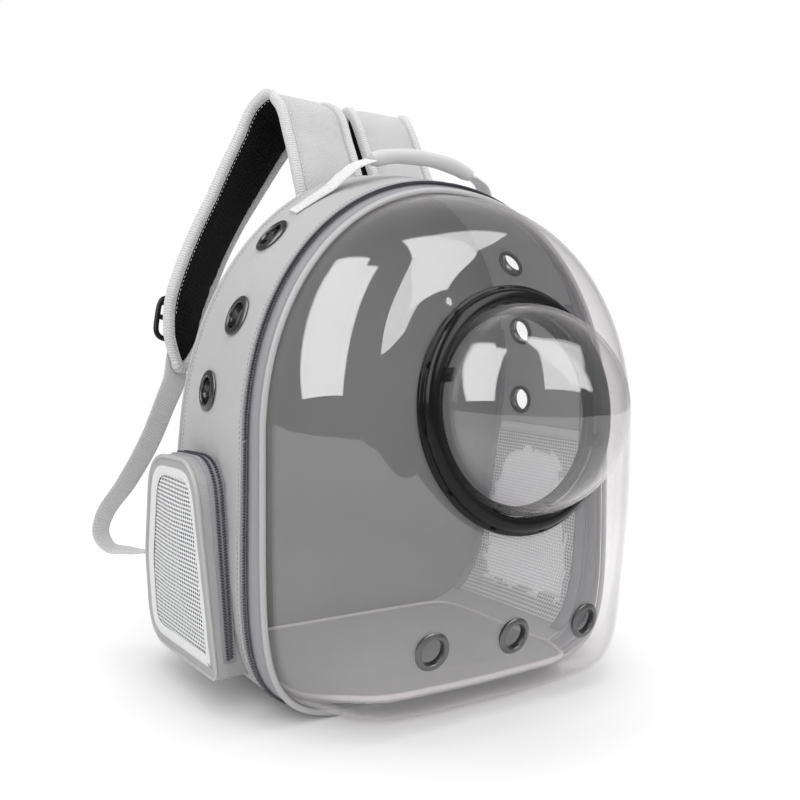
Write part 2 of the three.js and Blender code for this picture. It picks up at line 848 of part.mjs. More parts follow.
function windowRing() {
  const lipBack = -shellWall - gap;
  const body = turned([
    [ringBore, ringHeight - ringRound / 4],
    [ringBore + ringRound / 4, ringHeight],
    [ringRadius - ringRound, ringHeight],
    [ringRadius - ringRound / 3, ringHeight - ringRound / 3],
    [ringRadius, ringHeight - ringRound],
    [ringRadius, gap],
    [ringNeckRadius, gap],
    [ringNeckRadius, lipBack],
    [ringNeckRadius + ringLipReach, lipBack],
    [ringNeckRadius + ringLipReach, lipBack - ringLipThickness],
    [ringBore, lipBack - ringLipThickness],
    [ringBore, grooveBack],
    [grooveRadius, grooveBack],
    [grooveRadius, grooveFront],
    [ringBore, grooveFront],
  ], ringSides);
  return cut(body, tabSectors(grooveFront - 1, ringHeight + 1, tabHalfAngle + 0.02, releaseAngle));
}

function domeCollar() {
  const outer = ringBore - collarSlack;
  const inner = outer - collarWall;
  const tabFront = collarFront - tabSlack;
  const tabBack = tabFront - tabThickness;
  const tabRadius = grooveRadius - tabSlack;
  const sleeve = turned([
    [inner, -collarBack],
    [outer, -collarBack],
    [outer, collarFront],
    [inner + collarBevel, collarFront],
    [inner, collarFront - collarBevel],
  ], ringSides);
  const flange = turned([
    [outer - 1, tabBack],
    [tabRadius, tabBack],
    [tabRadius, tabFront],
    [outer - 1, tabFront],
  ], ringSides);
  const tabs = tabSectors(tabBack - 1, tabFront + 1, tabHalfAngle, 0)
    .map((sectorTool) => solidOf(flange).intersect(solidOf(sectorTool)));
  return geometryOf(tabs.reduce((whole, tab) => whole.add(tab), solidOf(sleeve)));
}

function dome() {
  const centre = ringHeight - domeSink;
  const foot = collarFront + gap;
  const quarter = steps(domeSteps + 1).map((index) => (Math.PI / 2) * (index / domeSteps));
  const outer = quarter.map((angle) => (
    [domeRadius * Math.cos(angle), centre + domeRadius * Math.sin(angle)]
  ));
  const inner = quarter.filter((_, index) => index % 2 === 0).map((angle) => {
    const radius = domeRadius - domeWall;
    return [radius * Math.cos(angle), centre + radius * Math.sin(angle)];
  });
  outer[outer.length - 1][0] = 0;
  inner[inner.length - 1][0] = 0;
  return turned([
    [domeRadius - domeWall, foot],
    [domeRadius, foot],
    ...outer,
    ...inner.reverse(),
  ], ringSides);
}

// Zip sliders

function slider(place, facing, along, rise) {
  const plate = box(sliderLength, sliderWidth, sliderThickness, 0, 0, sliderThickness / 2);
  const tab = box(sliderLength * 1.3, sliderWidth * 0.6, sliderThickness * 0.45, 0, 0, 0)
    .translate(-sliderLength * 0.7, 0, sliderThickness * 0.7);
  const body = geometryOf(solidOf(plate).add(solidOf(tab)));
  const side = facing.clone().cross(along);
  const frame = new THREE.Matrix4().makeBasis(along, side, facing);
  frame.setPosition(place.clone().addScaledVector(facing, rise));
  return body.applyMatrix4(frame);
}

// Finishes

function finish(color, roughness, metalness = 0, opacity = 1) {
  return new THREE.MeshStandardMaterial({
    color,
    roughness,
    metalness,
    opacity,
    transparent: opacity < 1,
  });
}

const greyCloth = finish(0xb9b9b8, 0.75);
const panelCloth = finish(0x828282, 0.7);
const bandCloth = finish(0xb4b2ba, 0.8);
const pipingCloth = finish(0xc4c4c3, 0.6);
const coilNylon = finish(0x5c5c66, 0.5);
const clearPlastic = finish(0xf2eef1, 0.05, 0, 0.2);
const blackPlastic = finish(0x101011, 0.25);
const gunMetal = finish(0x4a4a4c, 0.25, 1);
const brushedMetal = finish(0x9c9c9a, 0.35, 1);
const whiteNet = finish(0xe9e8ea, 0.8);
const matCloth = finish(0x8e8b8d, 0.8);
const webbing = finish(0xcfcfce, 0.8);
const strapCloth = finish(0xd4d4d3, 0.8);

// The assembly

const whole = new THREE.Group();
const bag = new THREE.Group();
bag.position.y = -floorMiddle;
whole.add(bag);

function piece(name, geometry, material, parent = bag) {
  const mesh = new THREE.Mesh(welded(geometry), material.clone());
  mesh.name = name;
  parent.add(mesh);
  return mesh;
}

const sides = [
  { name: 'left', of: (geometry) => mirrored(geometry) },
  { name: 'right', of: (geometry) => welded(geometry) },
];

// Back panel, closed by the back seam
piece('back_panel', outlinePlug([
  { depth: 1, inset: gussetWall + gap, behind: -backPadLip },
  { depth: 1, inset: gussetWall + gap, behind: -gap },
  { depth: 1, inset: pipingRadius * 2 - pipingProud + gap, behind: 0 },
  { depth: 1, inset: pipingRadius * 2 - pipingProud + gap, behind: backPadRise * 0.6 },
  { depth: 1, inset: backPadRound, behind: backPadRise },
]), panelCloth);

// Gusset, with its vents and side windows cut through
const sideVentPlaces = sideVents.map((row) => (
  { name: `side_grommet_${row.name}`, ...sideVentPlace(row) }
));
piece('gusset', cut(gussetBlank(), [
  ...sides.map((side) => side.of(sideWindow)),
  ...sideVentPlaces.map((vent) => (
    ventHole(sideGrommetBore, 4 * sideGrommetRadius).applyMatrix4(placedAt(vent.place, vent.facing))
  )),
]), greyCloth);
for (const vent of sideVentPlaces) {
  const mesh = piece(vent.name, grommet(
    sideGrommetRadius, sideGrommetBore, gussetWall, grommetSlack,
  ), gunMetal);
  mesh.applyMatrix4(placedAt(vent.place, vent.facing));
}

// Seam cords
function pipingRound(depth, behind) {
  const centre = pipingRadius - pipingProud;
  return outlineBand(steps(pipingSides).map((index) => {
    const angle = (turnRound * index) / pipingSides;
    return {
      depth,
      inset: centre + pipingRadius * Math.cos(angle),
      behind: behind + pipingRadius * Math.sin(angle),
    };
  }));
}
piece('back_piping', pipingRound(1, pipingRadius + gap), pipingCloth);
piece('front_piping', pipingRound(0, 0), pipingCloth);

// Zipper band and its coil
const bandFront = pipingRadius + gap;
piece('zipper_band', outlineBand([
  { depth: 0, inset: bandInset, behind: bandFront },
  { depth: seamDepth, inset: 0 },
  { depth: seamDepth, inset: bandWall },
  { depth: 0, inset: bandInset + bandWall, behind: bandFront },
]), bandCloth);

// The coil lies on the band: coilShare is a place across the band, and lift is above it.
function bandRow(share, lift) {
  return {
    depth: seamDepth * share,
    inset: mix(bandInset, 0, share) - lift,
    behind: mix(bandFront, 0, share),
  };
}
const coilMiddle = 1 - coilPlace;
const coilHalf = coilWidth / 2 / bandDepth;
const coilFloor = box(2 * frontWidth, 2 * frontDepth, 2 * coilEnd, 0, 0, 0);
piece('zipper_coil', cut(outlineBand([
  bandRow(coilMiddle - coilHalf, gap),
  bandRow(coilMiddle - coilHalf * 0.7, gap + coilRise),
  bandRow(coilMiddle + coilHalf * 0.7, gap + coilRise),
  bandRow(coilMiddle + coilHalf, gap),
]), [coilFloor]), coilNylon);

// Clear front with its round window and three vents
const shellSheet = shellBlank();
const shellVentPlaces = [-1, 0, 1].map((step) => (
  { step, ...shellVentPlace(shellSheet, step * shellVentSpacing) }
));
const windowHole = welded(new THREE.CylinderGeometry(
  windowHoleRadius, windowHoleRadius, 8 * shellHoleCut, ringSides,
).rotateX(Math.PI / 2).rotateZ(Math.PI / 2).applyMatrix4(seatFrame));
piece('front_shell', cut(shellSheet, [windowHole, ...shellVentPlaces.map((vent) => (
  ventHole(shellGrommetBore, 2 * shellGrommetRadius).applyMatrix4(placedAt(vent.place, vent.facing))
))]), clearPlastic);
for (const vent of shellVentPlaces) {
  const name = ['left', 'middle', 'right'][vent.step + 1];
  const mesh = piece(`shell_grommet_${name}`, grommet(
    shellGrommetRadius, shellGrommetBore, shellWall, grommetSlack,
  ), brushedMetal);
  mesh.applyMatrix4(placedAt(vent.place, vent.facing));
}

// Window ring, turning collar and dome
const windowFrame = new THREE.Group();
windowFrame.applyMatrix4(seatFrame);
bag.add(windowFrame);
piece('window_ring', windowRing(), blackPlastic, windowFrame);
piece('dome_collar', domeCollar(), blackPlastic, windowFrame);
piece('dome', dome(), clearPlastic, windowFrame);

// Side pockets
const pocketTray = pocketBody();
const pocketPanel = pocketNetPanel();
const pocketZip = pocketCoilStrip();
for (const side of sides) {
  piece(`${side.name}_pocket`, side.of(pocketTray), greyCloth);
  piece(`${side.name}_pocket_mesh`, side.of(pocketPanel), whiteNet);
  piece(`${side.name}_pocket_coil`, side.of(pocketZip), coilNylon);
}

// Net over the side windows, on the inside of the gusset, its head below the lowest vent
const lowestVent = Math.min(...sideVentPlaces.map(({ place }) => place.z));
const netHead = lowestVent - sideGrommetRadius - netVentGap;
const netDepths = [netFront, 0.6, 0.85, netBack];
const netRing = outlineBand([
  ...netDepths.map((depth) => ({ depth, inset: gussetWall + gap })),
  ...netDepths.map((depth) => ({ depth, inset: gussetWall + gap + netThickness })).reverse(),
]);
const netBox = box(frontWidth / 2, 2 * backFoot, netHead - netFoot, frontWidth / 2, 0, 0)
  .translate(0, 0, (netHead + netFoot) / 2);
const net = common(netRing, netBox);
for (const side of sides) {
  piece(`inner_mesh_${side.name}`, side.of(net), whiteNet);
}

// Mat on the cabin floor, reaching into the shell
const floorInset = bandWall + gap;
const cabin = outlinePlug([
  { depth: 0, inset: shellInset, behind: shellSkirt + gap },
  { depth: seamDepth, inset: floorInset },
  { depth: 0.6, inset: floorInset },
  { depth: 0.85, inset: floorInset },
  { depth: 1, inset: floorInset, behind: -backPadLip - gap },
]);
const matShape = new THREE.Shape();
const matBack = backFoot - matBackRoom;
matShape.moveTo(-matHalfWidth + matCorner, matFront);
matShape.lineTo(matHalfWidth - matCorner, matFront);
matShape.quadraticCurveTo(matHalfWidth, matFront, matHalfWidth, matFront + matCorner);
matShape.lineTo(matHalfWidth, matBack - matCorner);
matShape.quadraticCurveTo(matHalfWidth, matBack, matHalfWidth - matCorner, matBack);
matShape.lineTo(-matHalfWidth + matCorner, matBack);
matShape.quadraticCurveTo(-matHalfWidth, matBack, -matHalfWidth, matBack - matCorner);
matShape.lineTo(-matHalfWidth, matFront + matCorner);
matShape.quadraticCurveTo(-matHalfWidth, matFront, -matHalfWidth + matCorner, matFront);
const matBlock = welded(new THREE.ExtrudeGeometry(matShape, {
  depth: floorInset + matThickness,
  curveSegments: 5,
  bevelEnabled: false,
}));
const roomy = solidOf(cabin).add(solidOf(shellEnvelope(gap)));
piece('floor_mat', geometryOf(solidOf(matBlock).intersect(roomy)), matCloth);

// Handle
const leg = handleLeg();
piece('handle_grip', handleGrip(), webbing);
for (const side of sides) {
  piece(`handle_web_${side.name}`, side.of(leg), webbing);
}

// Shoulder straps
const pad = ribbon(strapSections, softCorners);
const web = ribbon(webSections, squareCorners);
const lock = buckle();
for (const side of sides) {
  piece(`strap_pad_${side.name}`, side.of(pad), strapCloth);
  piece(`strap_web_${side.name}`, side.of(web), webbing);
  piece(`buckle_${side.name}`, side.of(lock), blackPlastic);
}

// Main zip's slider, low on the right
const sliderAngle = -0.12;
const sliderRow = bandRow(coilMiddle, 0);
const sliderPlace = (angle) => bodyPoint(angle, sliderRow.depth, sliderRow.inset, sliderRow.behind);
const sliderNormal = outlineNormal(sliderAngle, sliderRow.depth);
piece('zipper_slider', slider(
  sliderPlace(sliderAngle),
  new THREE.Vector3(sliderNormal.x, 0, sliderNormal.y),
  sliderPlace(sliderAngle + 0.01).sub(sliderPlace(sliderAngle - 0.01)).normalize(),
  gap + coilRise + sliderSlack,
), gunMetal);

export default whole;
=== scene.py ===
"""The looks of an arched pet carrier backpack with a clear front and a round bubble window.

Lengths are worked out in millimetres and put into the meshes in metres. The clear front faces
-Y, the wearer's side faces +Y, and the bag stands on z = 0.
"""

import logging
import math
from dataclasses import dataclass
from enum import Enum
from typing import Any, Callable, Dict, List, Optional, Sequence, Tuple, Union

import bmesh
import bpy
import numpy as np
from mathutils import Matrix, Vector, noise
from mathutils.bvhtree import BVHTree


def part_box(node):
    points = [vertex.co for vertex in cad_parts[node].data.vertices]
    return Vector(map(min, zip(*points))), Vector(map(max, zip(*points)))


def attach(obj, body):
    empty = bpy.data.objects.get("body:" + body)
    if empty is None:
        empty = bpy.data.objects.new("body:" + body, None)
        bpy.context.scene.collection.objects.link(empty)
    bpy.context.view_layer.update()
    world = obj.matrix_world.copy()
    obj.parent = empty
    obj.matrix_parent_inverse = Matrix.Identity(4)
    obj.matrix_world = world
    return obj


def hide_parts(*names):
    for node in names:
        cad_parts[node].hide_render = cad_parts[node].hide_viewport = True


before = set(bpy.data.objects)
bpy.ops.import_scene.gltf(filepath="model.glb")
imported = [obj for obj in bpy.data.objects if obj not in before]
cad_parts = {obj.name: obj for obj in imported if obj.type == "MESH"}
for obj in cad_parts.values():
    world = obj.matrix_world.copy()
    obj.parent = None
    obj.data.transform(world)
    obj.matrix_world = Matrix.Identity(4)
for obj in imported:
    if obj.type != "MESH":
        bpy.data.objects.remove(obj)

LOG = logging.getLogger("carrier")
MM = 0.001
FLOOR_MIDDLE = 107.6
DEGREE = math.pi / 180
Colour = Tuple[float, float, float]
Row = Sequence[Vector]


class Body(Enum):
    """The two rigid bodies that pieces ride on."""

    BAG = "bag"
    BUBBLE = "bubble"


class Side(Enum):
    """The left and right of the bag, seen from the front."""

    LEFT = -1
    RIGHT = 1

    @property
    def word(self) -> str:
        """The side's name in piece names."""
        return self.name.lower()


class Weave(Enum):
    """How a cloth's threads lie."""

    PLAIN = "plain"
    TWILL = "twill"
    HERRINGBONE = "herringbone"
    RIB = "rib"
    KNIT = "knit"
    SPACER = "spacer"
    FELT = "felt"


class Layout(Enum):
    """Where a pattern's two directions come from."""

    SURFACE = "the piece's own UV map"
    FRONTAL = "x and z of the object"
    LEVEL = "x and y of the object"
    SIDEWAYS = "y and z of the object"
    CLOTH = "the cloth attribute"


def mix(low: float, high: float, share: float) -> float:
    """The value a share of the way from low to high."""
    return low + (high - low) * share


def smooth_share(value: float, low: float, high: float) -> float:
    """0 below low, 1 above high, and a smooth rise between them."""
    part = min(1.0, max(0.0, (value - low) / (high - low)))
    return part * part * (3 - 2 * part)


def placed(x: float, y: float, z: float) -> Vector:
    """A point in metres in the row frame, from millimetres in the bag's own frame."""
    return Vector((x * MM, (y - FLOOR_MIDDLE) * MM, z * MM))


# Shader maths


class Shade:
    """A shader socket; sums, products and differences of it add their own Math nodes."""

    def __init__(self, kit: "NodeKit", socket: Any) -> None:
        self.kit = kit
        self.socket = socket

    def __add__(self, other: "Value") -> "Shade":
        """The sum."""
        return self.kit.math("ADD", self, other)

    __radd__ = __add__

    def __sub__(self, other: "Value") -> "Shade":
        """The difference."""
        return self.kit.math("SUBTRACT", self, other)

    def __rsub__(self, other: "Value") -> "Shade":
        """The difference, the other way round."""
        return self.kit.math("SUBTRACT", other, self)

    def __mul__(self, other: "Value") -> "Shade":
        """The product."""
        return self.kit.math("MULTIPLY", self, other)

    __rmul__ = __mul__

    def __truediv__(self, other: "Value") -> "Shade":
        """The quotient."""
        return self.kit.math("DIVIDE", self, other)

    def __pow__(self, other: "Value") -> "Shade":
        """The power."""
        return self.kit.math("POWER", self, other)


Value = Union[Shade, float, int, Sequence[float]]


class NodeKit:
    """One material's nodes, added by expressions and by name."""

    def __init__(self, name: str) -> None:
        """Starts an empty node material of that name."""
        self.material = bpy.data.materials.new(name)
        self.material.use_nodes = True
        self.tree = self.material.node_tree
        self.tree.nodes.clear()

    def node(
        self, kind: str, settings: Optional[Dict[str, Any]] = None, inputs: Optional[Dict[Any, Value]] = None
    ) -> Any:
        """Adds a node.

        Args:
            kind: the node's Blender type.
            settings: the node's properties, set before its sockets.
            inputs: values or links by socket name or number.

        Returns:
            The new node.
        """
        node = self.tree.nodes.new(kind)
        for key, value in (settings or {}).items():
            setattr(node, key, value)
        for key, value in (inputs or {}).items():
            self.feed(node.inputs[key], value)
        return node

    def feed(self, socket: Any, value: Value) -> None:
        """Links a shade to a socket, or sets the socket's own value."""
        if isinstance(value, Shade):
            self.tree.links.new(value.socket, socket)
        elif isinstance(value, (tuple, list)) and len(value) == 3 and len(socket.default_value) == 4:
            socket.default_value = (*value, 1.0)
        else:
            socket.default_value = value

    def out(self, node: Any, output: Any = 0) -> Shade:
        """A node's output as a shade."""
        return Shade(self, node.outputs[output])

    def math(self, operation: str, first: Value, second: Value = 0.0, clamp: bool = False) -> Shade:
        """A Math node of two values."""
        inputs = {0: first, 1: second}
        return self.out(self.node("ShaderNodeMath", {"operation": operation, "use_clamp": clamp}, inputs))

    def sine(self, value: Value) -> Shade:
        """The sine of a value."""
        return self.math("SINE", value)

    def fold(self, value: Value, width: float) -> Shade:
        """A value folded back and forth between 0 and a width."""
        return self.math("PINGPONG", value, width)

    def rise(self, value: Value, low: float, high: float) -> Shade:
        """0 below low, 1 above high, smooth between them."""
        return self.out(
            self.node(
                "ShaderNodeMapRange",
                {"interpolation_type": "SMOOTHSTEP"},
                {"Value": value, "From Min": low, "From Max": high},
            )
        )

    def blend(self, first: Value, second: Value, factor: Value) -> Shade:
        """One colour mixed into another."""
        node = self.node("ShaderNodeMix", {"data_type": "RGBA"}, {0: factor, 6: first, 7: second})
        return self.out(node, 2)

    def directions(self, layout: Layout) -> Tuple[Shade, Shade, Shade]:
        """The two directions of a pattern and the one square to them, in metres."""
        if layout is Layout.SURFACE:
            source = self.node("ShaderNodeUVMap", {"uv_map": "UVMap"})
            vector = self.out(source)
        elif layout is Layout.CLOTH:
            vector = self.out(self.node("ShaderNodeAttribute", {"attribute_name": "cloth"}), "Vector")
        else:
            vector = self.out(self.node("ShaderNodeTexCoord"), "Object")
        split = self.node("ShaderNodeSeparateXYZ", None, {0: vector})
        x, y, z = (self.out(split, index) for index in range(3))
        order = {
            Layout.FRONTAL: (x, z, y),
            Layout.SIDEWAYS: (y, z, x),
        }
        return order.get(layout, (x, y, z))

    def cloud(self, scale: float, detail: float = 3.0, roughness: float = 0.55) -> Shade:
        """Soft noise over the object, from 0 to 1.

        Args:
            scale: noise cells to a metre.
            detail: how many finer layers are added.
            roughness: how strong the finer layers are.

        Returns:
            The noise value.
        """
        place = self.out(self.node("ShaderNodeTexCoord"), "Object")
        inputs = {"Vector": place, "Scale": scale, "Detail": detail, "Roughness": roughness}
        return self.out(self.node("ShaderNodeTexNoise", None, inputs))

    def bump(self, height: Value, distance: float, strength: float = 1.0, normal: Optional[Shade] = None) -> Shade:
        """A bumped normal, from a height and the depth in metres that it stands for."""
        inputs: Dict[Any, Value] = {"Height": height, "Distance": distance, "Strength": strength}
        if normal is not None:
            inputs["Normal"] = normal
        return self.out(self.node("ShaderNodeBump", None, inputs))

    def principled(self, inputs: Dict[Any, Value]) -> Shade:
        """A Principled shader."""
        return self.out(self.node("ShaderNodeBsdfPrincipled", None, inputs))

    def done(self, shader: Shade) -> bpy.types.Material:
        """Links the last shader to the output and gives the material."""
        self.node("ShaderNodeOutputMaterial", None, {"Surface": shader})
        return self.material


# Finishes


@dataclass(frozen=True)
class Finish:
    """Anything a surface can be finished with."""

    name: str
    slot: str

    def build(self) -> bpy.types.Material:
        """Makes the material; each kind of finish has its own."""
        raise NotImplementedError

    def material(self) -> bpy.types.Material:
        """The finish's material, made once."""
        return bpy.data.materials.get(self.name) or self.build()


@dataclass(frozen=True)
class Cloth(Finish):
    """A woven, knitted or felted cloth."""

    colour: Colour = (0.5, 0.5, 0.5)
    shade: Colour = (0.35, 0.35, 0.35)
    weave: Weave = Weave.PLAIN
    layout: Layout = Layout.SURFACE
    pitch: float = 0.0012
    relief: float = 0.0002
    roughness: float = 0.7
    sheen: float = 0.15
    mottle: float = 0.25
    wrinkle: float = 0.0
    glow: float = 0.0

    def threads(self, kit: NodeKit, u: Shade, v: Shade) -> Shade:
        """The height of the threads, from 0 to 1.

        Args:
            kit: the material's nodes.
            u: the first direction, in metres.
            v: the second direction, in metres.

        Returns:
            The height.
        """
        turn = 2 * math.pi / self.pitch
        if self.weave is Weave.TWILL:
            ribs = kit.sine((u + v) * turn)
            return ribs * 0.38 + kit.sine((u - v) * (turn * 1.7)) * 0.12 + 0.5
        if self.weave is Weave.HERRINGBONE:
            return kit.sine((v + kit.fold(u, self.pitch * 2.2)) * turn) * 0.5 + 0.5
        if self.weave is Weave.RIB:
            ribs = kit.sine(v * turn)
            steps = kit.sine(u * (turn * 1.3))
            return ribs * 0.34 + ribs * steps * 0.16 + 0.5
        if self.weave is Weave.KNIT:
            return kit.sine(v * turn + kit.fold(u * (turn / 3), 1.6)) * 0.5 + 0.5
        if self.weave is Weave.SPACER:
            dots = kit.sine((u + v) * (turn / 2)) * kit.sine((u - v) * (turn / 2))
            return 1 - kit.rise(dots, 0.2, 0.8)
        if self.weave is Weave.FELT:
            return kit.cloud(1 / self.pitch, 4.0, 0.7)
        return kit.sine(u * turn) * kit.sine(v * turn) * 0.5 + 0.5

    def build(self) -> bpy.types.Material:
        """Thread relief, thread colour, cloudy variation, soft wrinkles and, where set, a painted glow."""
        kit = NodeKit(self.name)
        u, v, _ = kit.directions(self.layout)
        threads = self.threads(kit, u, v)
        clouds = kit.cloud(38, 4.0)
        fine = kit.cloud(900, 2.0)
        share = threads * 0.45 + clouds * self.mottle + fine * 0.3 + (0.18 - self.mottle / 2)
        colour = kit.blend(self.shade, self.colour, kit.math("MULTIPLY", share, 1.0, True))
        normal = kit.bump(threads, self.relief)
        if self.wrinkle:
            normal = kit.bump(kit.cloud(26, 3.0, 0.5), self.wrinkle, 1.0, normal)
        inputs: Dict[Any, Value] = {
            "Base Color": colour,
            "Roughness": self.roughness + (0.5 - clouds) * 0.12,
            "Sheen Weight": self.sheen,
            "Normal": normal,
        }
        # A painted glow: emission in the cloth's own colour, for a sheet that stands in for back-light.
        if self.glow:
            inputs["Emission Color"] = colour
            inputs["Emission Strength"] = self.glow
        return kit.done(kit.principled(inputs))


@dataclass(frozen=True)
class TwoFacedPad(Finish):
    """A strap pad: twill on the outer face and spacer mesh on the face towards the wearer."""

    outer: Cloth
    inner: Cloth

    def build(self) -> bpy.types.Material:
        """Chooses between the two cloths by the side of the pad's middle."""
        kit = NodeKit(self.name)
        u, v, out = kit.directions(Layout.CLOTH)
        side = kit.rise(out, -0.0004, 0.0004)
        outer = self.outer.threads(kit, u, v)
        inner = self.inner.threads(kit, u, v)
        clouds = kit.cloud(40, 4.0)
        light = kit.blend(self.outer.shade, self.outer.colour, outer * 0.5 + clouds * 0.4)
        dark = kit.blend(self.inner.shade, self.inner.colour, inner * 0.8 + clouds * 0.1)
        height = outer * (1 - side) + inner * side * 2.0
        shader = kit.principled(
            {
                "Base Color": kit.blend(light, dark, side),
                "Roughness": 0.85 + (0.5 - clouds) * 0.1,
                "Specular IOR Level": 0.15,
                "Normal": kit.bump(height, self.outer.relief),
            }
        )
        return kit.done(shader)


@dataclass(frozen=True)
class Net(Finish):
    """An open net: rows of small rounded holes between soft threads."""

    colour: Colour = (0.86, 0.86, 0.87)
    layout: Layout = Layout.SIDEWAYS
    pitch: float = 0.0034
    hole: float = 0.12

    def build(self) -> bpy.types.Material:
        """Holes through alpha, with the threads' relief round them."""
        kit = NodeKit(self.name)
        u, v, _ = kit.directions(self.layout)
        wave = kit.sine(v * (2 * math.pi / (self.pitch * 9))) * (self.pitch * 0.35)
        turn = math.pi / self.pitch
        along = (u + wave) * turn
        up = v * turn
        field = kit.sine(along + up) * kit.sine(along - up)
        solid = 1 - kit.rise(field, self.hole, self.hole + 0.3)
        relief = kit.bump(field * -1.0, 0.0006)
        tone = kit.blend((0.62, 0.62, 0.64), self.colour, kit.rise(field * -1.0, -0.9, 0.7))
        shader = kit.principled(
            {"Base Color": tone, "Roughness": 0.75, "Sheen Weight": 0.2, "Normal": relief, "Alpha": solid}
        )
        return kit.done(shader)


@dataclass(frozen=True)
class ClearSheet(Finish):
    """Clear moulded plastic: see-through, with gloss and a faint milky edge."""

    tint: Colour = (0.93, 0.9, 0.915)
    haze: float = 0.012
    rim: float = 0.5
    shine: float = 0.065
    graze: float = 0.45

    def build(self) -> bpy.types.Material:
        """A glossy coat over transparency; a milky share grows towards the rim of the form."""
        kit = NodeKit(self.name)
        through = kit.out(kit.node("ShaderNodeBsdfTransparent", None, {"Color": (0.99, 0.985, 0.988)}))
        gloss = kit.principled({"Base Color": (1, 1, 1), "Metallic": 1.0, "Roughness": 0.015})
        milk = kit.principled({"Base Color": self.tint, "Roughness": 0.2})
        edge = kit.out(kit.node("ShaderNodeLayerWeight", None, {"Blend": 0.5}), "Facing")
        specks = kit.cloud(60, 2.0) * 0.01
        milky = edge ** 6.0 * self.rim + self.haze + specks
        base = kit.out(kit.node("ShaderNodeMixShader", None, {0: milky, 1: through, 2: milk}))
        shine = kit.math("ADD", edge ** 5.0 * self.graze, self.shine, True)
        shader = kit.out(kit.node("ShaderNodeMixShader", None, {0: shine, 1: base, 2: gloss}))
        return kit.done(shader)


@dataclass(frozen=True)
class HardFinish(Finish):
    """Moulded plastic or plated metal."""

    colour: Colour = (0.02, 0.02, 0.02)
    metallic: float = 0.0
    roughness: float = 0.2
    coat: float = 0.0
    grain: float = 0.00002
    grain_scale: float = 900.0
    brushed: bool = False
    specular: float = 0.5

    def build(self) -> bpy.types.Material:
        """Gloss with fine grain, handling marks and, on brushed metal, hairlines."""
        kit = NodeKit(self.name)
        smudges = kit.cloud(45, 5.0, 0.6)
        grain = kit.cloud(self.grain_scale, 2.0)
        if self.brushed:
            x, y, z = kit.directions(Layout.LEVEL)
            lines = kit.node("ShaderNodeCombineXYZ", None, {0: x * 0.04, 1: y, 2: z})
            inputs = {"Vector": kit.out(lines), "Scale": 2600.0, "Detail": 2.0}
            grain = kit.out(kit.node("ShaderNodeTexNoise", None, inputs))
        tone = kit.blend([c * 0.8 for c in self.colour], [min(1.0, c * 1.15) for c in self.colour], smudges)
        shader = kit.principled(
            {
                "Base Color": tone,
                "Metallic": self.metallic,
                "Roughness": self.roughness + (smudges - 0.5) * 0.12,
                "Coat Weight": self.coat,
                "Specular IOR Level": self.specular,
                "Normal": kit.bump(grain, self.grain),
            }
        )
        return kit.done(shader)


GREY_CLOTH = Cloth(
    "grey_coated_cloth", "grey_cloth", (0.47, 0.47, 0.47), (0.375, 0.375, 0.38),
    Weave.PLAIN, Layout.SURFACE, 0.0016, 0.00010, 0.55, 0.1, 0.3, 0.0016,
)
POCKET_CLOTH = Cloth(
    "grey_pocket_cloth", "grey_cloth", (0.37, 0.37, 0.375), (0.28, 0.28, 0.285),
    Weave.PLAIN, Layout.SIDEWAYS, 0.0016, 0.00010, 0.55, 0.1, 0.3, 0.0008,
)
PANEL_CLOTH = Cloth(
    "panel_lining_cloth", "panel_cloth", (0.22, 0.22, 0.22), (0.175, 0.175, 0.175),
    Weave.TWILL, Layout.FRONTAL, 0.0014, 0.00002, 0.6, 0.05, 0.12, 0.0004,
)
BACK_MESH = Cloth(
    "back_air_mesh", "panel_cloth", (0.42, 0.42, 0.42), (0.2, 0.2, 0.2),
    Weave.SPACER, Layout.FRONTAL, 0.0052, 0.0007, 0.8, 0.1, 0.2,
)
TAPE_CLOTH = Cloth(
    "lavender_zip_tape", "zip_tape", (0.335, 0.33, 0.355), (0.215, 0.21, 0.235),
    Weave.HERRINGBONE, Layout.SURFACE, 0.0018, 0.00022, 0.75, 0.1, 0.15,
)
PIPING_CLOTH = Cloth(
    "seam_piping_cloth", "piping_cloth", (0.46, 0.46, 0.455), (0.36, 0.36, 0.36),
    Weave.PLAIN, Layout.SURFACE, 0.0014, 0.0001, 0.5, 0.1, 0.2,
)
MAT_CLOTH = Cloth(
    "floor_mat_felt", "mat_cloth", (0.36, 0.355, 0.36), (0.26, 0.255, 0.26),
    Weave.FELT, Layout.LEVEL, 0.0011, 0.0004, 0.9, 0.25, 0.3,
)
MAT_EDGE = Cloth(
    "floor_mat_binding", "mat_cloth", (0.68, 0.645, 0.65), (0.5, 0.47, 0.475),
    Weave.PLAIN, Layout.SURFACE, 0.0016, 0.00015, 0.7, 0.1, 0.2,
)
WEBBING = Cloth(
    "ribbed_webbing", "webbing", (0.74, 0.74, 0.74), (0.5, 0.5, 0.505),
    Weave.RIB, Layout.SURFACE, 0.0024, 0.00016, 0.7, 0.1, 0.1,
)
WHITE_WEBBING = Cloth(
    "white_webbing", "webbing", (0.78, 0.78, 0.78), (0.6, 0.6, 0.6),
    Weave.RIB, Layout.SURFACE, 0.0020, 0.0003, 0.7, 0.2, 0.15,
)
GRIP_CLOTH = Cloth(
    "grip_heather_cloth", "webbing", (0.66, 0.66, 0.66), (0.46, 0.46, 0.46),
    Weave.PLAIN, Layout.SURFACE, 0.0016, 0.00014, 0.8, 0.2, 0.35,
)
STRAP_TWILL = Cloth(
    "strap_twill", "strap_cloth", (0.68, 0.68, 0.68), (0.47, 0.47, 0.47),
    Weave.TWILL, Layout.CLOTH, 0.0026, 0.0004, 0.8,
)
STRAP_MESH = Cloth(
    "strap_spacer_mesh", "strap_cloth", (0.006, 0.006, 0.0065), (0.001, 0.001, 0.001),
    Weave.SPACER, Layout.CLOTH, 0.0046, 0.0006, 0.8,
)
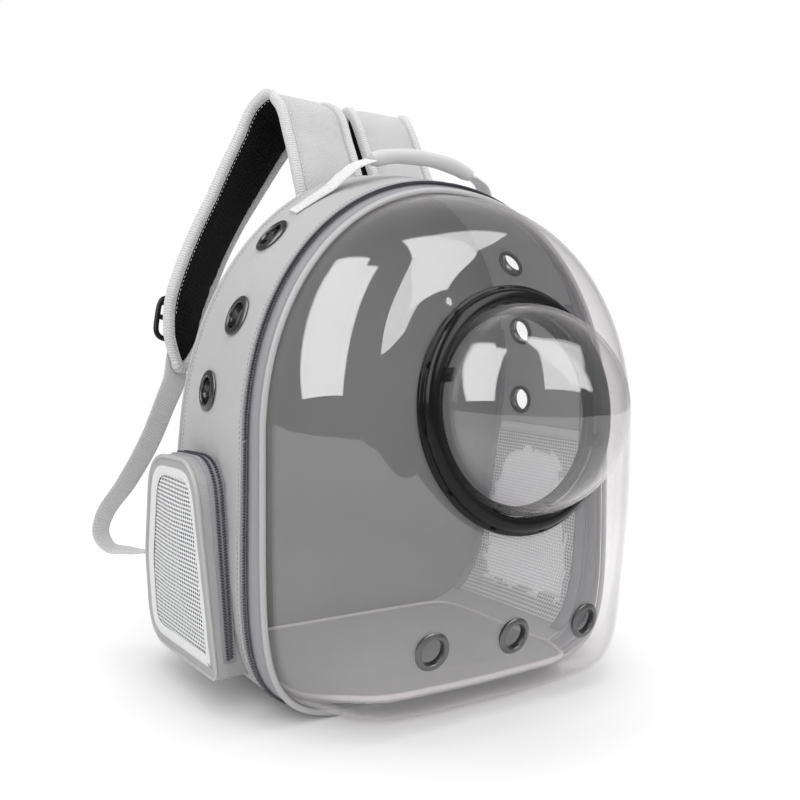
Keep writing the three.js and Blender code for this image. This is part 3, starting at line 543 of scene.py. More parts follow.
STRAP_PAD = TwoFacedPad("strap_pad_cloth", "strap_cloth", STRAP_TWILL, STRAP_MESH)
BINDING = Cloth(
    "white_knit_binding", "strap_cloth", (0.74, 0.74, 0.74), (0.46, 0.46, 0.46),
    Weave.KNIT, Layout.SURFACE, 0.0026, 0.0005, 0.85, 0.3, 0.25,
)
THREAD = Cloth(
    "sewing_thread", "strap_cloth", (0.8, 0.8, 0.8), (0.6, 0.6, 0.6),
    Weave.PLAIN, Layout.LEVEL, 0.0006, 0.00005, 0.6,
)
GREY_THREAD = Cloth(
    "grey_sewing_thread", "strap_cloth", (0.3, 0.3, 0.31), (0.2, 0.2, 0.2),
    Weave.PLAIN, Layout.LEVEL, 0.0006, 0.00005, 0.6,
)
# Painted shade: a near-black sheet behind the side pocket's net, standing in for the shaded cabin seen through it.
PAINTED_SHADE_LINING = Cloth(
    "dark_pocket_lining", "grey_cloth", (0.05, 0.05, 0.052), (0.03, 0.03, 0.03),
    Weave.PLAIN, Layout.SIDEWAYS, 0.0012, 0.0001, 0.9, 0.0,
)
# Painted light: a white sheet that glows by emission, standing in for light shining through the side pocket's net
# into the cabin.
PAINTED_GLOW_LINING = Cloth(
    "white_pocket_lining", "white_net", (0.88, 0.88, 0.88), (0.7, 0.7, 0.7),
    Weave.PLAIN, Layout.SIDEWAYS, 0.0012, 0.0001, 0.9, 0.1, glow=0.45,
)
WHITE_NET = Net("white_side_net", "white_net")
COIL = HardFinish("nylon_coil", "zip_coil", (0.055, 0.052, 0.065), 0.0, 0.4, 0.0, 0.00003)
BLACK_GLOSS = HardFinish(
    "black_gloss_plastic", "black_plastic", (0.005, 0.005, 0.006), 0.0, 0.2, 0.0, 0.00001, specular=0.22
)
GUN_METAL = HardFinish("gun_metal_plate", "gun_metal", (0.1, 0.1, 0.104), 1.0, 0.26, 0.0, 0.00001)
BRUSHED = HardFinish(
    "brushed_metal_plate", "brushed_metal", (0.15, 0.15, 0.148), 1.0, 0.36, 0.0, 0.00001, 2000, True
)
CLEAR = ClearSheet("clear_moulded_sheet", "clear_plastic")


@dataclass(frozen=True)
class FloorFinish(Finish):
    """A white floor that fades into the surround away from the bag."""

    near: float = 0.42
    far: float = 1.1

    def build(self) -> bpy.types.Material:
        """White paper near the bag, plain light further out."""
        kit = NodeKit(self.name)
        x, y, _ = kit.directions(Layout.LEVEL)
        reach = (x * x + y * y) ** 0.5
        paper = kit.principled({"Base Color": (0.97, 0.97, 0.97), "Roughness": 0.7, "Specular IOR Level": 0.2})
        light = kit.out(kit.node("ShaderNodeEmission", None, {"Color": (1, 1, 1), "Strength": 1.0}))
        share = kit.rise(reach, self.near, self.far)
        return kit.done(kit.out(kit.node("ShaderNodeMixShader", None, {0: share, 1: paper, 2: light})))


STUDIO_FLOOR = FloorFinish("studio_floor", "")


# Mesh helpers


def grown(rows: Sequence[Row], ring: bool = False, tube: bool = False) -> bmesh.types.BMesh:
    """A surface grown by extruding its first row of points to each of the next.

    Args:
        rows: rows of points in millimetres, all of one length.
        ring: whether each row closes on itself.
        tube: whether the last row joins the first.

    Returns:
        The mesh in metres, with a UV map in metres: U along a row, V from row to row.
    """
    mesh = bmesh.new()
    layer = mesh.loops.layers.uv.new("UVMap")
    count = len(rows[0])
    every = list(rows) + ([rows[0]] if tube else [])
    place = np.array([[tuple(point) for point in row] for row in every], float)
    wrapped = np.concatenate([place, place[:, :1]], axis=1) if ring else place
    lengths = np.linalg.norm(np.diff(wrapped, axis=1), axis=2).mean(0)
    along = np.concatenate([[0.0], np.cumsum(lengths)]) * MM
    down = np.concatenate([[0.0], np.cumsum(np.linalg.norm(np.diff(place, axis=0), axis=2).mean(1))]) * MM
    pairs = [(index, index + 1) for index in range(count - 1)] + ([(count - 1, 0)] if ring else [])
    current = [mesh.verts.new(placed(*point)) for point in every[0]]
    edges = [mesh.edges.new((current[a], current[b])) for a, b in pairs]
    marks: Dict[Any, Tuple[int, int]] = {vert: (0, column) for column, vert in enumerate(current)}
    for number, row in enumerate(every[1:], start=1):
        result = bmesh.ops.extrude_edge_only(mesh, edges=edges)["geom"]
        fresh = {item for item in result if isinstance(item, bmesh.types.BMVert)}
        following = []
        for vert in current:
            following.append(next(e.other_vert(vert) for e in vert.link_edges if e.other_vert(vert) in fresh))
        for column, (vert, point) in enumerate(zip(following, row)):
            vert.co = placed(*point)
            marks[vert] = (number, column)
        edges = [mesh.edges.get((following[a], following[b])) for a, b in pairs]
        current = following
    for face in mesh.faces:
        last = ring and any(marks[loop.vert][1] == count - 1 for loop in face.loops)
        for loop in face.loops:
            number, column = marks[loop.vert]
            loop[layer].uv = (along[count] if last and column == 0 else along[column], down[number])
    if tube:
        bmesh.ops.remove_doubles(mesh, verts=mesh.verts[:], dist=1e-7)
    return mesh


def capped(mesh: bmesh.types.BMesh) -> bmesh.types.BMesh:
    """Fills the open ends of a mesh and turns its faces outwards."""
    rims = [edge for edge in mesh.edges if edge.is_boundary]
    bmesh.ops.holes_fill(mesh, edges=rims, sides=0)
    bmesh.ops.recalc_face_normals(mesh, faces=mesh.faces[:])
    return mesh


def facing(mesh: bmesh.types.BMesh, centre: Vector, outwards: bool = True) -> bmesh.types.BMesh:
    """Turns an open sheet's faces away from a point, or towards it.

    Args:
        mesh: the sheet.
        centre: the point, in metres.
        outwards: whether the faces look away from the point.

    Returns:
        The same mesh.
    """
    bmesh.ops.recalc_face_normals(mesh, faces=mesh.faces[:])
    total = sum(face.normal.dot(face.calc_center_median() - centre) * face.calc_area() for face in mesh.faces)
    if (total < 0) == outwards:
        bmesh.ops.reverse_faces(mesh, faces=mesh.faces[:])
    return mesh


def lathe(profile: Sequence[Tuple[float, float]], sides: int = 96, angle: float = 360.0) -> bmesh.types.BMesh:
    """A closed profile of radius and height spun about Z, in millimetres.

    Args:
        profile: corners of the closed profile, radius and height.
        sides: faces round the turn.
        angle: how far it turns, in degrees; a part turn is capped.

    Returns:
        The mesh, still in millimetres about its own axis.
    """
    mesh = bmesh.new()
    verts = [mesh.verts.new((radius, 0, height)) for radius, height in profile]
    edges = [mesh.edges.new((verts[i], verts[(i + 1) % len(verts)])) for i in range(len(verts))]
    full = angle >= 360
    bmesh.ops.spin(
        mesh, geom=[*verts, *edges], cent=(0, 0, 0), axis=(0, 0, 1), dvec=(0, 0, 0),
        angle=angle * DEGREE, space=Matrix.Identity(4), steps=sides, use_merge=full,
    )
    bmesh.ops.remove_doubles(mesh, verts=mesh.verts[:], dist=1e-4)
    if not full:
        bmesh.ops.holes_fill(mesh, edges=[edge for edge in mesh.edges if edge.is_boundary], sides=0)
    bmesh.ops.recalc_face_normals(mesh, faces=mesh.faces[:])
    return mesh


def joined(meshes: Sequence[bmesh.types.BMesh]) -> bmesh.types.BMesh:
    """Several meshes put into one."""
    whole = bmesh.new()
    for mesh in meshes:
        part = bpy.data.meshes.new("part")
        mesh.to_mesh(part)
        mesh.free()
        whole.from_mesh(part)
        bpy.data.meshes.remove(part)
    return whole


def mirrored(mesh: bmesh.types.BMesh, side: Side) -> bmesh.types.BMesh:
    """The mesh itself on the right, or its mirror image on the left."""
    if side is Side.LEFT:
        bmesh.ops.scale(mesh, vec=(-1, 1, 1), verts=mesh.verts[:])
        bmesh.ops.reverse_faces(mesh, faces=mesh.faces[:])
    return mesh


@dataclass
class Piece:
    """One piece of the visual model, made from a finished mesh."""

    name: str
    mesh: bmesh.types.BMesh
    finish: Finish
    body: Body = Body.BAG
    stands_for: Tuple[str, ...] = ()
    wall: float = 0.0
    smooth: bool = True
    sharp: float = 42.0

    def put(self) -> bpy.types.Object:
        """Makes the object, dresses it, thickens it where it is a sheet, and seats it on its body."""
        data = bpy.data.meshes.new(self.name)
        self.mesh.to_mesh(data)
        self.mesh.free()
        thing = bpy.data.objects.new(self.name, data)
        bpy.context.scene.collection.objects.link(thing)
        data.materials.append(self.finish.material())
        data.polygons.foreach_set("use_smooth", [self.smooth] * len(data.polygons))
        if self.smooth:
            data.set_sharp_from_angle(angle=self.sharp * DEGREE)
        if self.wall:
            wall = thing.modifiers.new("wall", "SOLIDIFY")
            wall.thickness = self.wall * MM
            wall.offset = -1
        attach(thing, self.body.value)
        if self.stands_for:
            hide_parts(*self.stands_for)
        LOG.info("%s: %d faces", self.name, len(data.polygons))
        return thing


# Forms


@dataclass(frozen=True)
class Outline:
    """The D-shaped outline of the bag, from its front seam to its back seam."""

    front_width: float = 363.4
    front_height: float = 420.0
    back_width: float = 358.4
    back_height: float = 442.0
    widest: float = 214.6
    crown: float = 2.09
    base: float = 6.24
    floor_flat: float = 1.2
    swell: float = 5.0
    front_foot: float = -12.0
    front_head: float = 13.0
    back_foot: float = 195.2
    back_head: float = 120.2
    band: float = 32.0

    @property
    def depth(self) -> float:
        """The bag's depth along its floor."""
        return self.back_foot - self.front_foot

    @property
    def seam(self) -> float:
        """The share of the depth taken by the zipper band."""
        return self.band / self.depth

    def swell_at(self, depth: float) -> float:
        """How far the wall stands out from the straight line between its seams."""
        places = [0.0, self.seam, 0.6, 0.85, 1.0]
        return self.swell * float(np.interp(depth, places, [0, 1, 0.95, 0.55, 0]))

    def at(self, angle: float, depth: float) -> Vector:
        """The outline's x and z at an angle round it and a share of the depth."""
        across, up = math.cos(angle), math.sin(angle)
        swell = self.swell_at(min(max(depth, 0.0), 1.0))
        half = mix(self.front_width, self.back_width, depth) / 2 + swell
        rise = mix(self.front_height, self.back_height, depth) + swell - self.widest
        power = 2 / (self.crown if up > 0 else self.base)
        x = half * math.copysign(abs(across) ** power, across)
        z = self.widest + (rise if up > 0 else self.widest + self.floor_flat) * math.copysign(abs(up) ** power, up)
        return Vector((x, max(z, 0.0)))

    def normal(self, angle: float, depth: float) -> Vector:
        """The way the outline faces, in x and z."""
        run = self.at(angle + 0.004, depth) - self.at(angle - 0.004, depth)
        return Vector((run.y, -run.x)).normalized()

    def front_plane(self, height: float) -> float:
        """Where the front seam's plane stands at a height."""
        return mix(self.front_foot, self.front_head, height / self.front_height)

    def back_plane(self, height: float) -> float:
        """Where the back seam's plane stands at a height."""
        return mix(self.back_foot, self.back_head, height / self.back_height)

    def to_y(self, depth: float, height: float) -> float:
        """The y of a share of the depth at a height."""
        return mix(self.front_plane(height), self.back_plane(height), depth)

    def point(self, angle: float, depth: float, inset: float = 0.0, behind: float = 0.0) -> Vector:
        """A point of the wall, moved in from the outline and back from its plane."""
        flat = self.at(angle, depth) - self.normal(angle, depth) * inset
        height = max(flat.y, 0.0)
        return Vector((flat.x, self.to_y(depth, height) + behind, height))

    def angles(self, count: int) -> List[float]:
        """Angles that stand evenly along the outline."""
        small = 10 ** np.linspace(-9, -0.3, 260)
        low = -math.pi / 2
        fan = np.concatenate([corner + sign * small for corner in (low, 0, -math.pi) for sign in (-1, 1)] + [[low]])
        even = np.linspace(low - math.pi, low + math.pi, 900)
        every = np.unique(np.concatenate([fan, even]))
        every = every[(every >= low - math.pi) & (every <= low + math.pi)]
        places = np.array([tuple(self.at(angle, 0.4)) for angle in every])
        run = np.concatenate([[0], np.cumsum(np.linalg.norm(np.diff(places, axis=0), axis=1))])
        wanted = np.linspace(0, run[-1], count, endpoint=False)
        return [float(angle) for angle in np.interp(wanted, run, every)]

    def angle_at(self, height: float) -> float:
        """The angle on the right side at which the outline has a height."""
        if height >= self.widest:
            share = min(1.0, (height - self.widest) / (self.front_height + self.swell - self.widest))
            return math.asin(share ** (self.crown / 2))
        share = min(1.0, (self.widest - height) / (self.widest + self.floor_flat))
        return -math.asin(share ** (self.base / 2))

    def wall_x(self, y: float, height: float, inset: float = 0.0) -> float:
        """How far out the right wall stands at a y and a height."""
        depth = (y - self.front_plane(height)) / (self.back_plane(height) - self.front_plane(height))
        return self.point(self.angle_at(height), min(max(depth, 0.0), 1.0), inset).x


OUTLINE = Outline()
BAG_MIDDLE = placed(0, 90, 215)


@dataclass(frozen=True)
class Curve:
    """A smooth curve through points, with knots spaced by the root of their distance."""

    points: Tuple[Vector, ...]

    def at(self, share: float) -> Vector:
        """The point a share of the way along, counted in equal steps from point to point."""
        spot = (len(self.points) - 1) * min(max(share, 0.0), 1.0)
        low = min(int(spot), len(self.points) - 2)
        part = spot - low
        p1, p2 = self.points[low], self.points[low + 1]
        p0 = self.points[low - 1] if low > 0 else p1 * 2 - p2
        p3 = self.points[low + 2] if low + 2 < len(self.points) else p2 * 2 - p1
        d1 = math.sqrt((p2 - p1).length) or 1.0
        d0 = math.sqrt((p1 - p0).length) or d1
        d2 = math.sqrt((p3 - p2).length) or d1
        t1 = ((p1 - p0) / d0 - (p2 - p0) / (d0 + d1) + (p2 - p1) / d1) * d1
        t2 = ((p2 - p1) / d1 - (p3 - p1) / (d1 + d2) + (p3 - p2) / d2) * d1
        c2 = p1 * -3 + p2 * 3 - t1 * 2 - t2
        c3 = p1 * 2 - p2 * 2 + t1 + t2
        return p1 + t1 * part + c2 * part ** 2 + c3 * part ** 3

    def heading(self, share: float) -> Vector:
        """The curve's direction at a share of the way."""
        return (self.at(min(1.0, share + 1e-4)) - self.at(max(0.0, share - 1e-4))).normalized()


@dataclass
class Section:
    """One section of a strap or webbing: its middle, its frame and its width."""

    centre: Vector
    along: Vector
    face: Vector
    heading: Vector
    width: float


def ribbon_sections(
    rows: Sequence[Dict[str, float]],
    count: int,
    place: Callable[[Dict[str, float]], Vector],
    direction: Callable[[Callable[[str], float]], Vector],
    width: Callable[[Callable[[str], float]], float],
    start: float = 0.0,
    end: float = 1.0,
) -> List[Section]:
    """Sections along a smooth curve through a table's rows.

    Args:
        rows: the table.
        count: how many steps from start to end.
        place: gives a row's point.
        direction: gives the direction of the width, from the blended columns.
        width: gives the width, from the blended columns.
        start: share of the curve to start at.
        end: share of the curve to end at.

    Returns:
        The sections.
    """
    curve = Curve(tuple(place(row) for row in rows))
    found = []
    for step in range(count + 1):
        share = mix(start, end, step / count)
        spot = share * (len(rows) - 1)
        low = min(int(spot), len(rows) - 2)

        def blend(key: str, low: int = low, part: float = spot - low) -> float:
            """A column's value between its two rows."""
            return mix(rows[low].get(key, 0.0), rows[low + 1].get(key, 0.0), part)

        heading = curve.heading(share)
        wanted = direction(blend)
        along = (wanted - heading * wanted.dot(heading)).normalized()
        found.append(Section(curve.at(share), along, heading.cross(along).normalized(), heading, width(blend)))
    return found


def section_ring(section: Section, corners: Sequence[Tuple[float, float]]) -> List[Vector]:
    """A ring of points round a section, from places along its width and face in millimetres."""
    return [section.centre + section.along * across + section.face * out for across, out in corners]


def flat_corners(width: float, thickness: float, bulge: float = 0.0) -> List[Tuple[float, float]]:
    """The corners of a flat band with softened edges.

    Args:
        width: the band's width.
        thickness: its thickness.
        bulge: how much its middle stands above its edges.

    Returns:
        Places along the width and the face.
    """
    half, thick = width / 2, thickness / 2
    top = [(half * share, thick + bulge * (1 - share * share)) for share in (0.94, 0.6, 0.2, -0.2, -0.6, -0.94)]
    edge = [(-half, thick * 0.4), (-half, -thick * 0.4)]
    return top + edge + [(-a, -o) for a, o in top] + [(-a, -o) for a, o in edge]


@dataclass(frozen=True)
class Stitches:
    """A row of short sewn stitches along a line."""

    length: float = 2.6
    gap: float = 1.4
    radius: float = 0.28

    def along(self, line: Sequence[Vector]) -> bmesh.types.BMesh:
        """Stitches laid end to end along a line of points.

        Args:
            line: the points, in millimetres.

        Returns:
            The mesh, in metres.
        """
        places = np.array([tuple(point) for point in line], float)
        run = np.concatenate([[0], np.cumsum(np.linalg.norm(np.diff(places, axis=0), axis=1))])
        pitch = self.length + self.gap
        mesh = bmesh.new()
        for number in range(int(run[-1] // pitch)):
            ends = [
                Vector([float(np.interp(number * pitch + offset, run, places[:, axis])) for axis in range(3)])
                for offset in (0, self.length)
            ]
            heading = ends[1] - ends[0]
            turn = heading.to_track_quat("Z", "Y").to_matrix().to_4x4()
            middle = placed(*((ends[0] + ends[1]) / 2))
            size = Matrix.Diagonal((self.radius * MM, self.radius * MM, self.length / 2 * MM, 1))
            seat = Matrix.Translation(middle) @ turn @ size
            bmesh.ops.create_icosphere(mesh, subdivisions=1, radius=1.0, matrix=seat)
        return mesh


# The wall of the bag


@dataclass(frozen=True)
class Vent:
    """A vent's ring: where it sits and the way it faces, read from its solid."""

    node: str

    def seat(self) -> Tuple[Vector, Vector]:
        """The middle of the ring in metres, and the way it faces."""
        places = np.array([tuple(vert.co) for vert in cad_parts[self.node].data.vertices])
        middle = places.mean(0)
        values, axes = np.linalg.eigh(np.cov((places - middle).T))
        axis = Vector([float(value) for value in axes[:, int(np.argmin(values))]])
        centre = Vector([float(value) for value in middle])
        if axis.dot(centre - BAG_MIDDLE) < 0:
            axis = -axis
        return centre, axis


@dataclass
class VentRings:
    """The metal rings of the vents in the cloth wall and in the clear front."""

    side_radius: float = 17.0
    side_bore: float = 11.0
    side_length: float = 7.0
    front_radius: float = 15.0
    front_bore: float = 10.0
    front_length: float = 5.6
    side_names: Tuple[str, ...] = (
        "left_top", "left_middle", "left_low", "right_top", "right_middle", "right_low",
    )
    front_names: Tuple[str, ...] = ("left", "middle", "right")

    def profile(self, radius: float, bore: float, length: float) -> List[Tuple[float, float]]:
        """A rounded flange, a rolled inner lip, a barrel and a back washer."""
        back = -length + 2.2
        return [
            (bore, 1.1), (bore + 0.5, 1.75), (bore + 1.4, 2.05), (mix(bore, radius, 0.5), 1.75),
            (radius - 1.2, 1.05), (radius - 0.3, 0.7), (radius, 0.3), (radius - 0.2, 0.02), (bore + 1.4, 0.0),
            (bore + 1.3, back), (radius - 2.6, back - 0.1), (radius - 2.8, back - 0.9),
            (bore + 0.8, back - 1.4), (bore, back - 0.9),
        ]

    def ring(self, name: str, node: str, profile: List[Tuple[float, float]], finish: Finish) -> None:
        """Turns one ring and seats it where its solid sits."""
        centre, axis = Vent(node).seat()
        mesh = lathe(profile, 64)
        low, high = min(h for _, h in profile), max(h for _, h in profile)
        turn = axis.to_track_quat("Z", "Y").to_matrix().to_4x4()
        lift = Matrix.Translation((0, 0, -(low + high) / 2))
        matrix = Matrix.Translation(centre) @ turn @ Matrix.Scale(MM, 4) @ lift
        bmesh.ops.transform(mesh, matrix=matrix, verts=mesh.verts[:])
        Piece(name, mesh, finish, stands_for=(node,), sharp=60).put()

    def build(self) -> None:
        """Makes all nine rings."""
        side = self.profile(self.side_radius, self.side_bore, self.side_length)
        for word in self.side_names:
            self.ring(f"vent_ring_{word}", f"side_grommet_{word}", side, GUN_METAL)
        front = self.profile(self.front_radius, self.front_bore, self.front_length)
        for word in self.front_names:
            self.ring(f"front_vent_ring_{word}", f"shell_grommet_{word}", front, BRUSHED)


def open_round(mesh: bmesh.types.BMesh, centre: Vector, axis: Vector, radius: float) -> None:
    """Opens a round hole in a fine sheet.

    Args:
        mesh: the sheet, in metres.
        centre: a point on the hole's axis.
        axis: the hole's axis.
        radius: its radius, in metres.
    """

    def off(place: Vector) -> Vector:
        """The way from the hole's axis to a place."""
        reach = place - centre
        return reach - axis * reach.dot(axis)

    near = [f for f in mesh.faces if (f.calc_center_median() - centre).length < radius * 2.2]
    bmesh.ops.subdivide_edges(mesh, edges=list({e for f in near for e in f.edges}), cuts=1, use_grid_fill=True)
    near = [f for f in mesh.faces if (f.calc_center_median() - centre).length < radius * 1.8]
    gone = [f for f in near if off(f.calc_center_median()).length < radius]
    rim = {v for f in gone for v in f.verts}
    bmesh.ops.delete(mesh, geom=gone, context="FACES")
    for vert in rim:
        if vert.is_valid and any(edge.is_boundary for edge in vert.link_edges):
            way = off(vert.co)
            vert.co += way.normalized() * (radius - way.length)


@dataclass
class ClothWall:
    """The gusset, the zipper band, the coil and the two seam cords."""

    outline: Outline = OUTLINE
    sides: int = 300
    rows: int = 36
    wall: float = 2.4
    piping: float = 2.4
    proud: float = 1.2
    coil_share: float = 0.69
    window_margin: float = 13.0

    def gusset(self, pocket: "PocketLoop") -> None:
        """The cloth wall with its vents and its two side windows."""
        out = self.outline
        angles = out.angles(self.sides)
        seats = [Vent(f"side_grommet_{word}").seat() for word in VentRings().side_names]
        spots = [centre for centre, _ in seats]
        rows = []
        for step in range(self.rows + 1):
            depth = mix(out.seam, 1.0, step / self.rows)
            edge = smooth_share(min(step, self.rows - step), 0, 3)
            row = []
            for angle in angles:
                point = out.point(angle, depth, 0.0, 0.3 if step == 0 else 0.0)
                near = min((placed(*point) - spot).length for spot in spots) / MM
                soft = noise.noise(point / 45) * 0.8
                reach = abs(pocket.distance(point.y, point.z))
                pull = smooth_share(24 - reach, 0, 24) * smooth_share(abs(point.x), 120, 165)
                folds = noise.noise(Vector((point.x, point.y * 1.7, point.z * 1.2)) / 12) * 1.4
                calm = smooth_share(near, 19, 34) * smooth_share(point.z, 4, 40) * edge
                normal = out.normal(angle, depth)
                lift = (soft + folds * pull) * calm
                row.append(Vector((point.x + normal.x * lift, point.y, point.z + normal.y * lift)))
            rows.append(row)
        mesh = facing(grown(rows, ring=True), BAG_MIDDLE)
        for centre, axis in seats:
            open_round(mesh, centre, axis, 12.8 * MM)
        gone = []
        for face in mesh.faces:
            spot = face.calc_center_median() / MM
            if abs(spot.x) > 140 and pocket.inside(spot.y + FLOOR_MIDDLE, spot.z, self.window_margin):
                gone.append(face)
        rim = {vert for face in gone for vert in face.verts}
        bmesh.ops.delete(mesh, geom=gone, context="FACES")
        self.even(pocket, [vert for vert in rim if vert.is_valid])
        Piece("gusset_cloth", mesh, GREY_CLOTH, stands_for=("gusset",), wall=self.wall).put()

    def even(self, pocket: "PocketLoop", rim: Sequence[bmesh.types.BMVert]) -> None:
        """Draws the rim of a side window onto its true line.

        Args:
            pocket: the loop that the window follows.
            rim: the vertices round the window.
        """
        for vert in rim:
            y, z = vert.co.y / MM + FLOOR_MIDDLE, vert.co.z / MM
            slope = Vector((
                pocket.distance(y + 1, z) - pocket.distance(y - 1, z),
                pocket.distance(y, z + 1) - pocket.distance(y, z - 1),
            ))
            if slope.length > 0.5:
                move = slope.normalized() * (pocket.distance(y, z) + self.window_margin) * MM
                vert.co.y -= move.x
                vert.co.z -= move.y

    def band(self) -> None:
        """The tape band between the front seam and the gusset, with its stitched ridges."""
        out = self.outline
        angles = out.angles(self.sides)
        profile = (
            (0.0, 1.4), (0.03, 1.7), (0.07, 0.7), (0.1, 0.0), (0.25, -0.3), (0.4, 0.0), (0.45, 0.6),
            (0.57, 0.6), (0.81, 0.6), (0.84, 0.1), (0.88, -0.2), (0.93, 0.0), (0.96, 1.0), (1.0, 1.2),
        )
        rows = []
        for share, sink in profile:
            inset = mix(1.2, 0.0, share) + sink
            behind = mix(self.piping + 0.3, 0.0, share)
            rows.append([out.point(angle, out.seam * share, inset, behind) for angle in angles])
        mesh = facing(grown(rows, ring=True), BAG_MIDDLE)
        Piece("zipper_tape", mesh, TAPE_CLOTH, stands_for=("zipper_band",), wall=2.0).put()

    def coil(self) -> None:
        """Two rows of coil turns along the band, ending above the floor on each side."""
        out = self.outline
        angles = [angle for angle in out.angles(620)]
        mesh = bmesh.new()
        for row, shift in ((-1, 0.0), (1, 0.5)):
            for number in range(len(angles)):
                low, high = angles[number], angles[(number + 1) % len(angles)]
                if high < low:
                    high += 2 * math.pi
                angle = mix(low, high, shift)
                share = self.coil_share + row * 0.062
                inset = mix(1.2, 0.0, share) - 0.9
                point = out.point(angle, out.seam * share, inset, mix(2.7, 0.0, share))
                if point.z < 9:
                    continue
                ahead = out.point(angle + 0.002, out.seam * share, inset, mix(2.7, 0.0, share)) - point
                normal = out.normal(angle, out.seam * share)
                face = Vector((normal.x, 0, normal.y))
                run = (ahead - face * ahead.dot(face)).normalized()
                across = face.cross(run)
                slant = Matrix.Rotation(row * 0.42, 4, "Z")
                turn = Matrix((run, across, face)).transposed().to_4x4() @ slant
                size = Matrix.Diagonal((0.95 * MM, 2.0 * MM, 1.05 * MM, 1))
                matrix = Matrix.Translation(placed(*point)) @ turn @ size
                bmesh.ops.create_icosphere(mesh, subdivisions=1, radius=1.0, matrix=matrix)
        Piece("zipper_coil_turns", mesh, COIL, stands_for=("zipper_coil",)).put()

    def cord(self, name: str, node: str, depth: float, behind: float) -> None:
        """One seam cord round the D, its cover a little uneven."""
        out = self.outline
        angles = out.angles(self.sides)
        rows = []
        for step in range(12):
            turn = 2 * math.pi * step / 12
            reach = self.piping * (1.0 + 0.06 * math.cos(turn))
            inset = self.piping - self.proud + reach * math.cos(turn)
            rows.append([out.point(a, depth, inset, behind + reach * math.sin(turn)) for a in angles])
        mesh = grown(rows, ring=True, tube=True)
        bmesh.ops.recalc_face_normals(mesh, faces=mesh.faces[:])
        Piece(name, mesh, PIPING_CLOTH, stands_for=(node,)).put()

    def threads(self) -> None:
        """Stitch lines beside the two seams of the band and beside the back seam."""
        out = self.outline
        angles = out.angles(400)
        lines = ((out.seam * 0.895, -0.45), (out.seam * 1.09, -0.3), (0.955, -0.3))
        parts = []
        for depth, inset in lines:
            line = [out.point(angle, depth, inset) for angle in angles]
            parts.append(Stitches().along([point for point in line if point.z > 3]))
        Piece("wall_stitches", joined(parts), GREY_THREAD).put()

    def build(self, pocket: "PocketLoop") -> None:
        """Makes the wall, the band, the coil, the cords and the stitches."""
        self.gusset(pocket)
        self.band()
        self.coil()
        self.cord("front_seam_cord", "front_piping", 0.0, 0.0)
        self.cord("back_seam_cord", "back_piping", 1.0, self.piping + 0.3)
        self.threads()
        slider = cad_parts["zipper_slider"]
        slider.data.materials.clear()
        slider.data.materials.append(GUN_METAL.material())


# The clear front and its bubble


@dataclass
class Seat:
    """The tilted seat of the round window, on the clear front."""

    tilt: float = 0.14
    forward: float = -77.0
    height: float = 242.5
    radius: float = 104.0

    @property
    def up(self) -> Vector:
        """The seat's upward direction."""
        return Vector((0, math.sin(self.tilt), math.cos(self.tilt)))

    @property
    def axis(self) -> Vector:
        """The way the window faces."""
        return Vector((0, -math.cos(self.tilt), math.sin(self.tilt)))

    def matrix(self) -> Matrix:
        """From the seat's own millimetres to metres in the row frame."""
        turn = Matrix((Vector((1, 0, 0)), self.up, self.axis)).transposed().to_4x4()
        return Matrix.Translation(placed(0, self.forward, self.height)) @ turn @ Matrix.Scale(MM, 4)

    def point(self, angle: float, radius: float) -> Vector:
        """A point on the seat plane, in line with an angle of the bag's outline."""
        rim = OUTLINE.at(angle, 0)
        seen = math.atan2(rim.y - self.height, rim.x)
        turned = math.atan2(math.sin(angle), math.cos(angle))
        place = turned + math.atan2(math.sin(seen - turned), math.cos(seen - turned)) / 2
        centre = Vector((0, self.forward, self.height))
        return centre + Vector((radius * math.cos(place), 0, 0)) + self.up * (radius * math.sin(place))


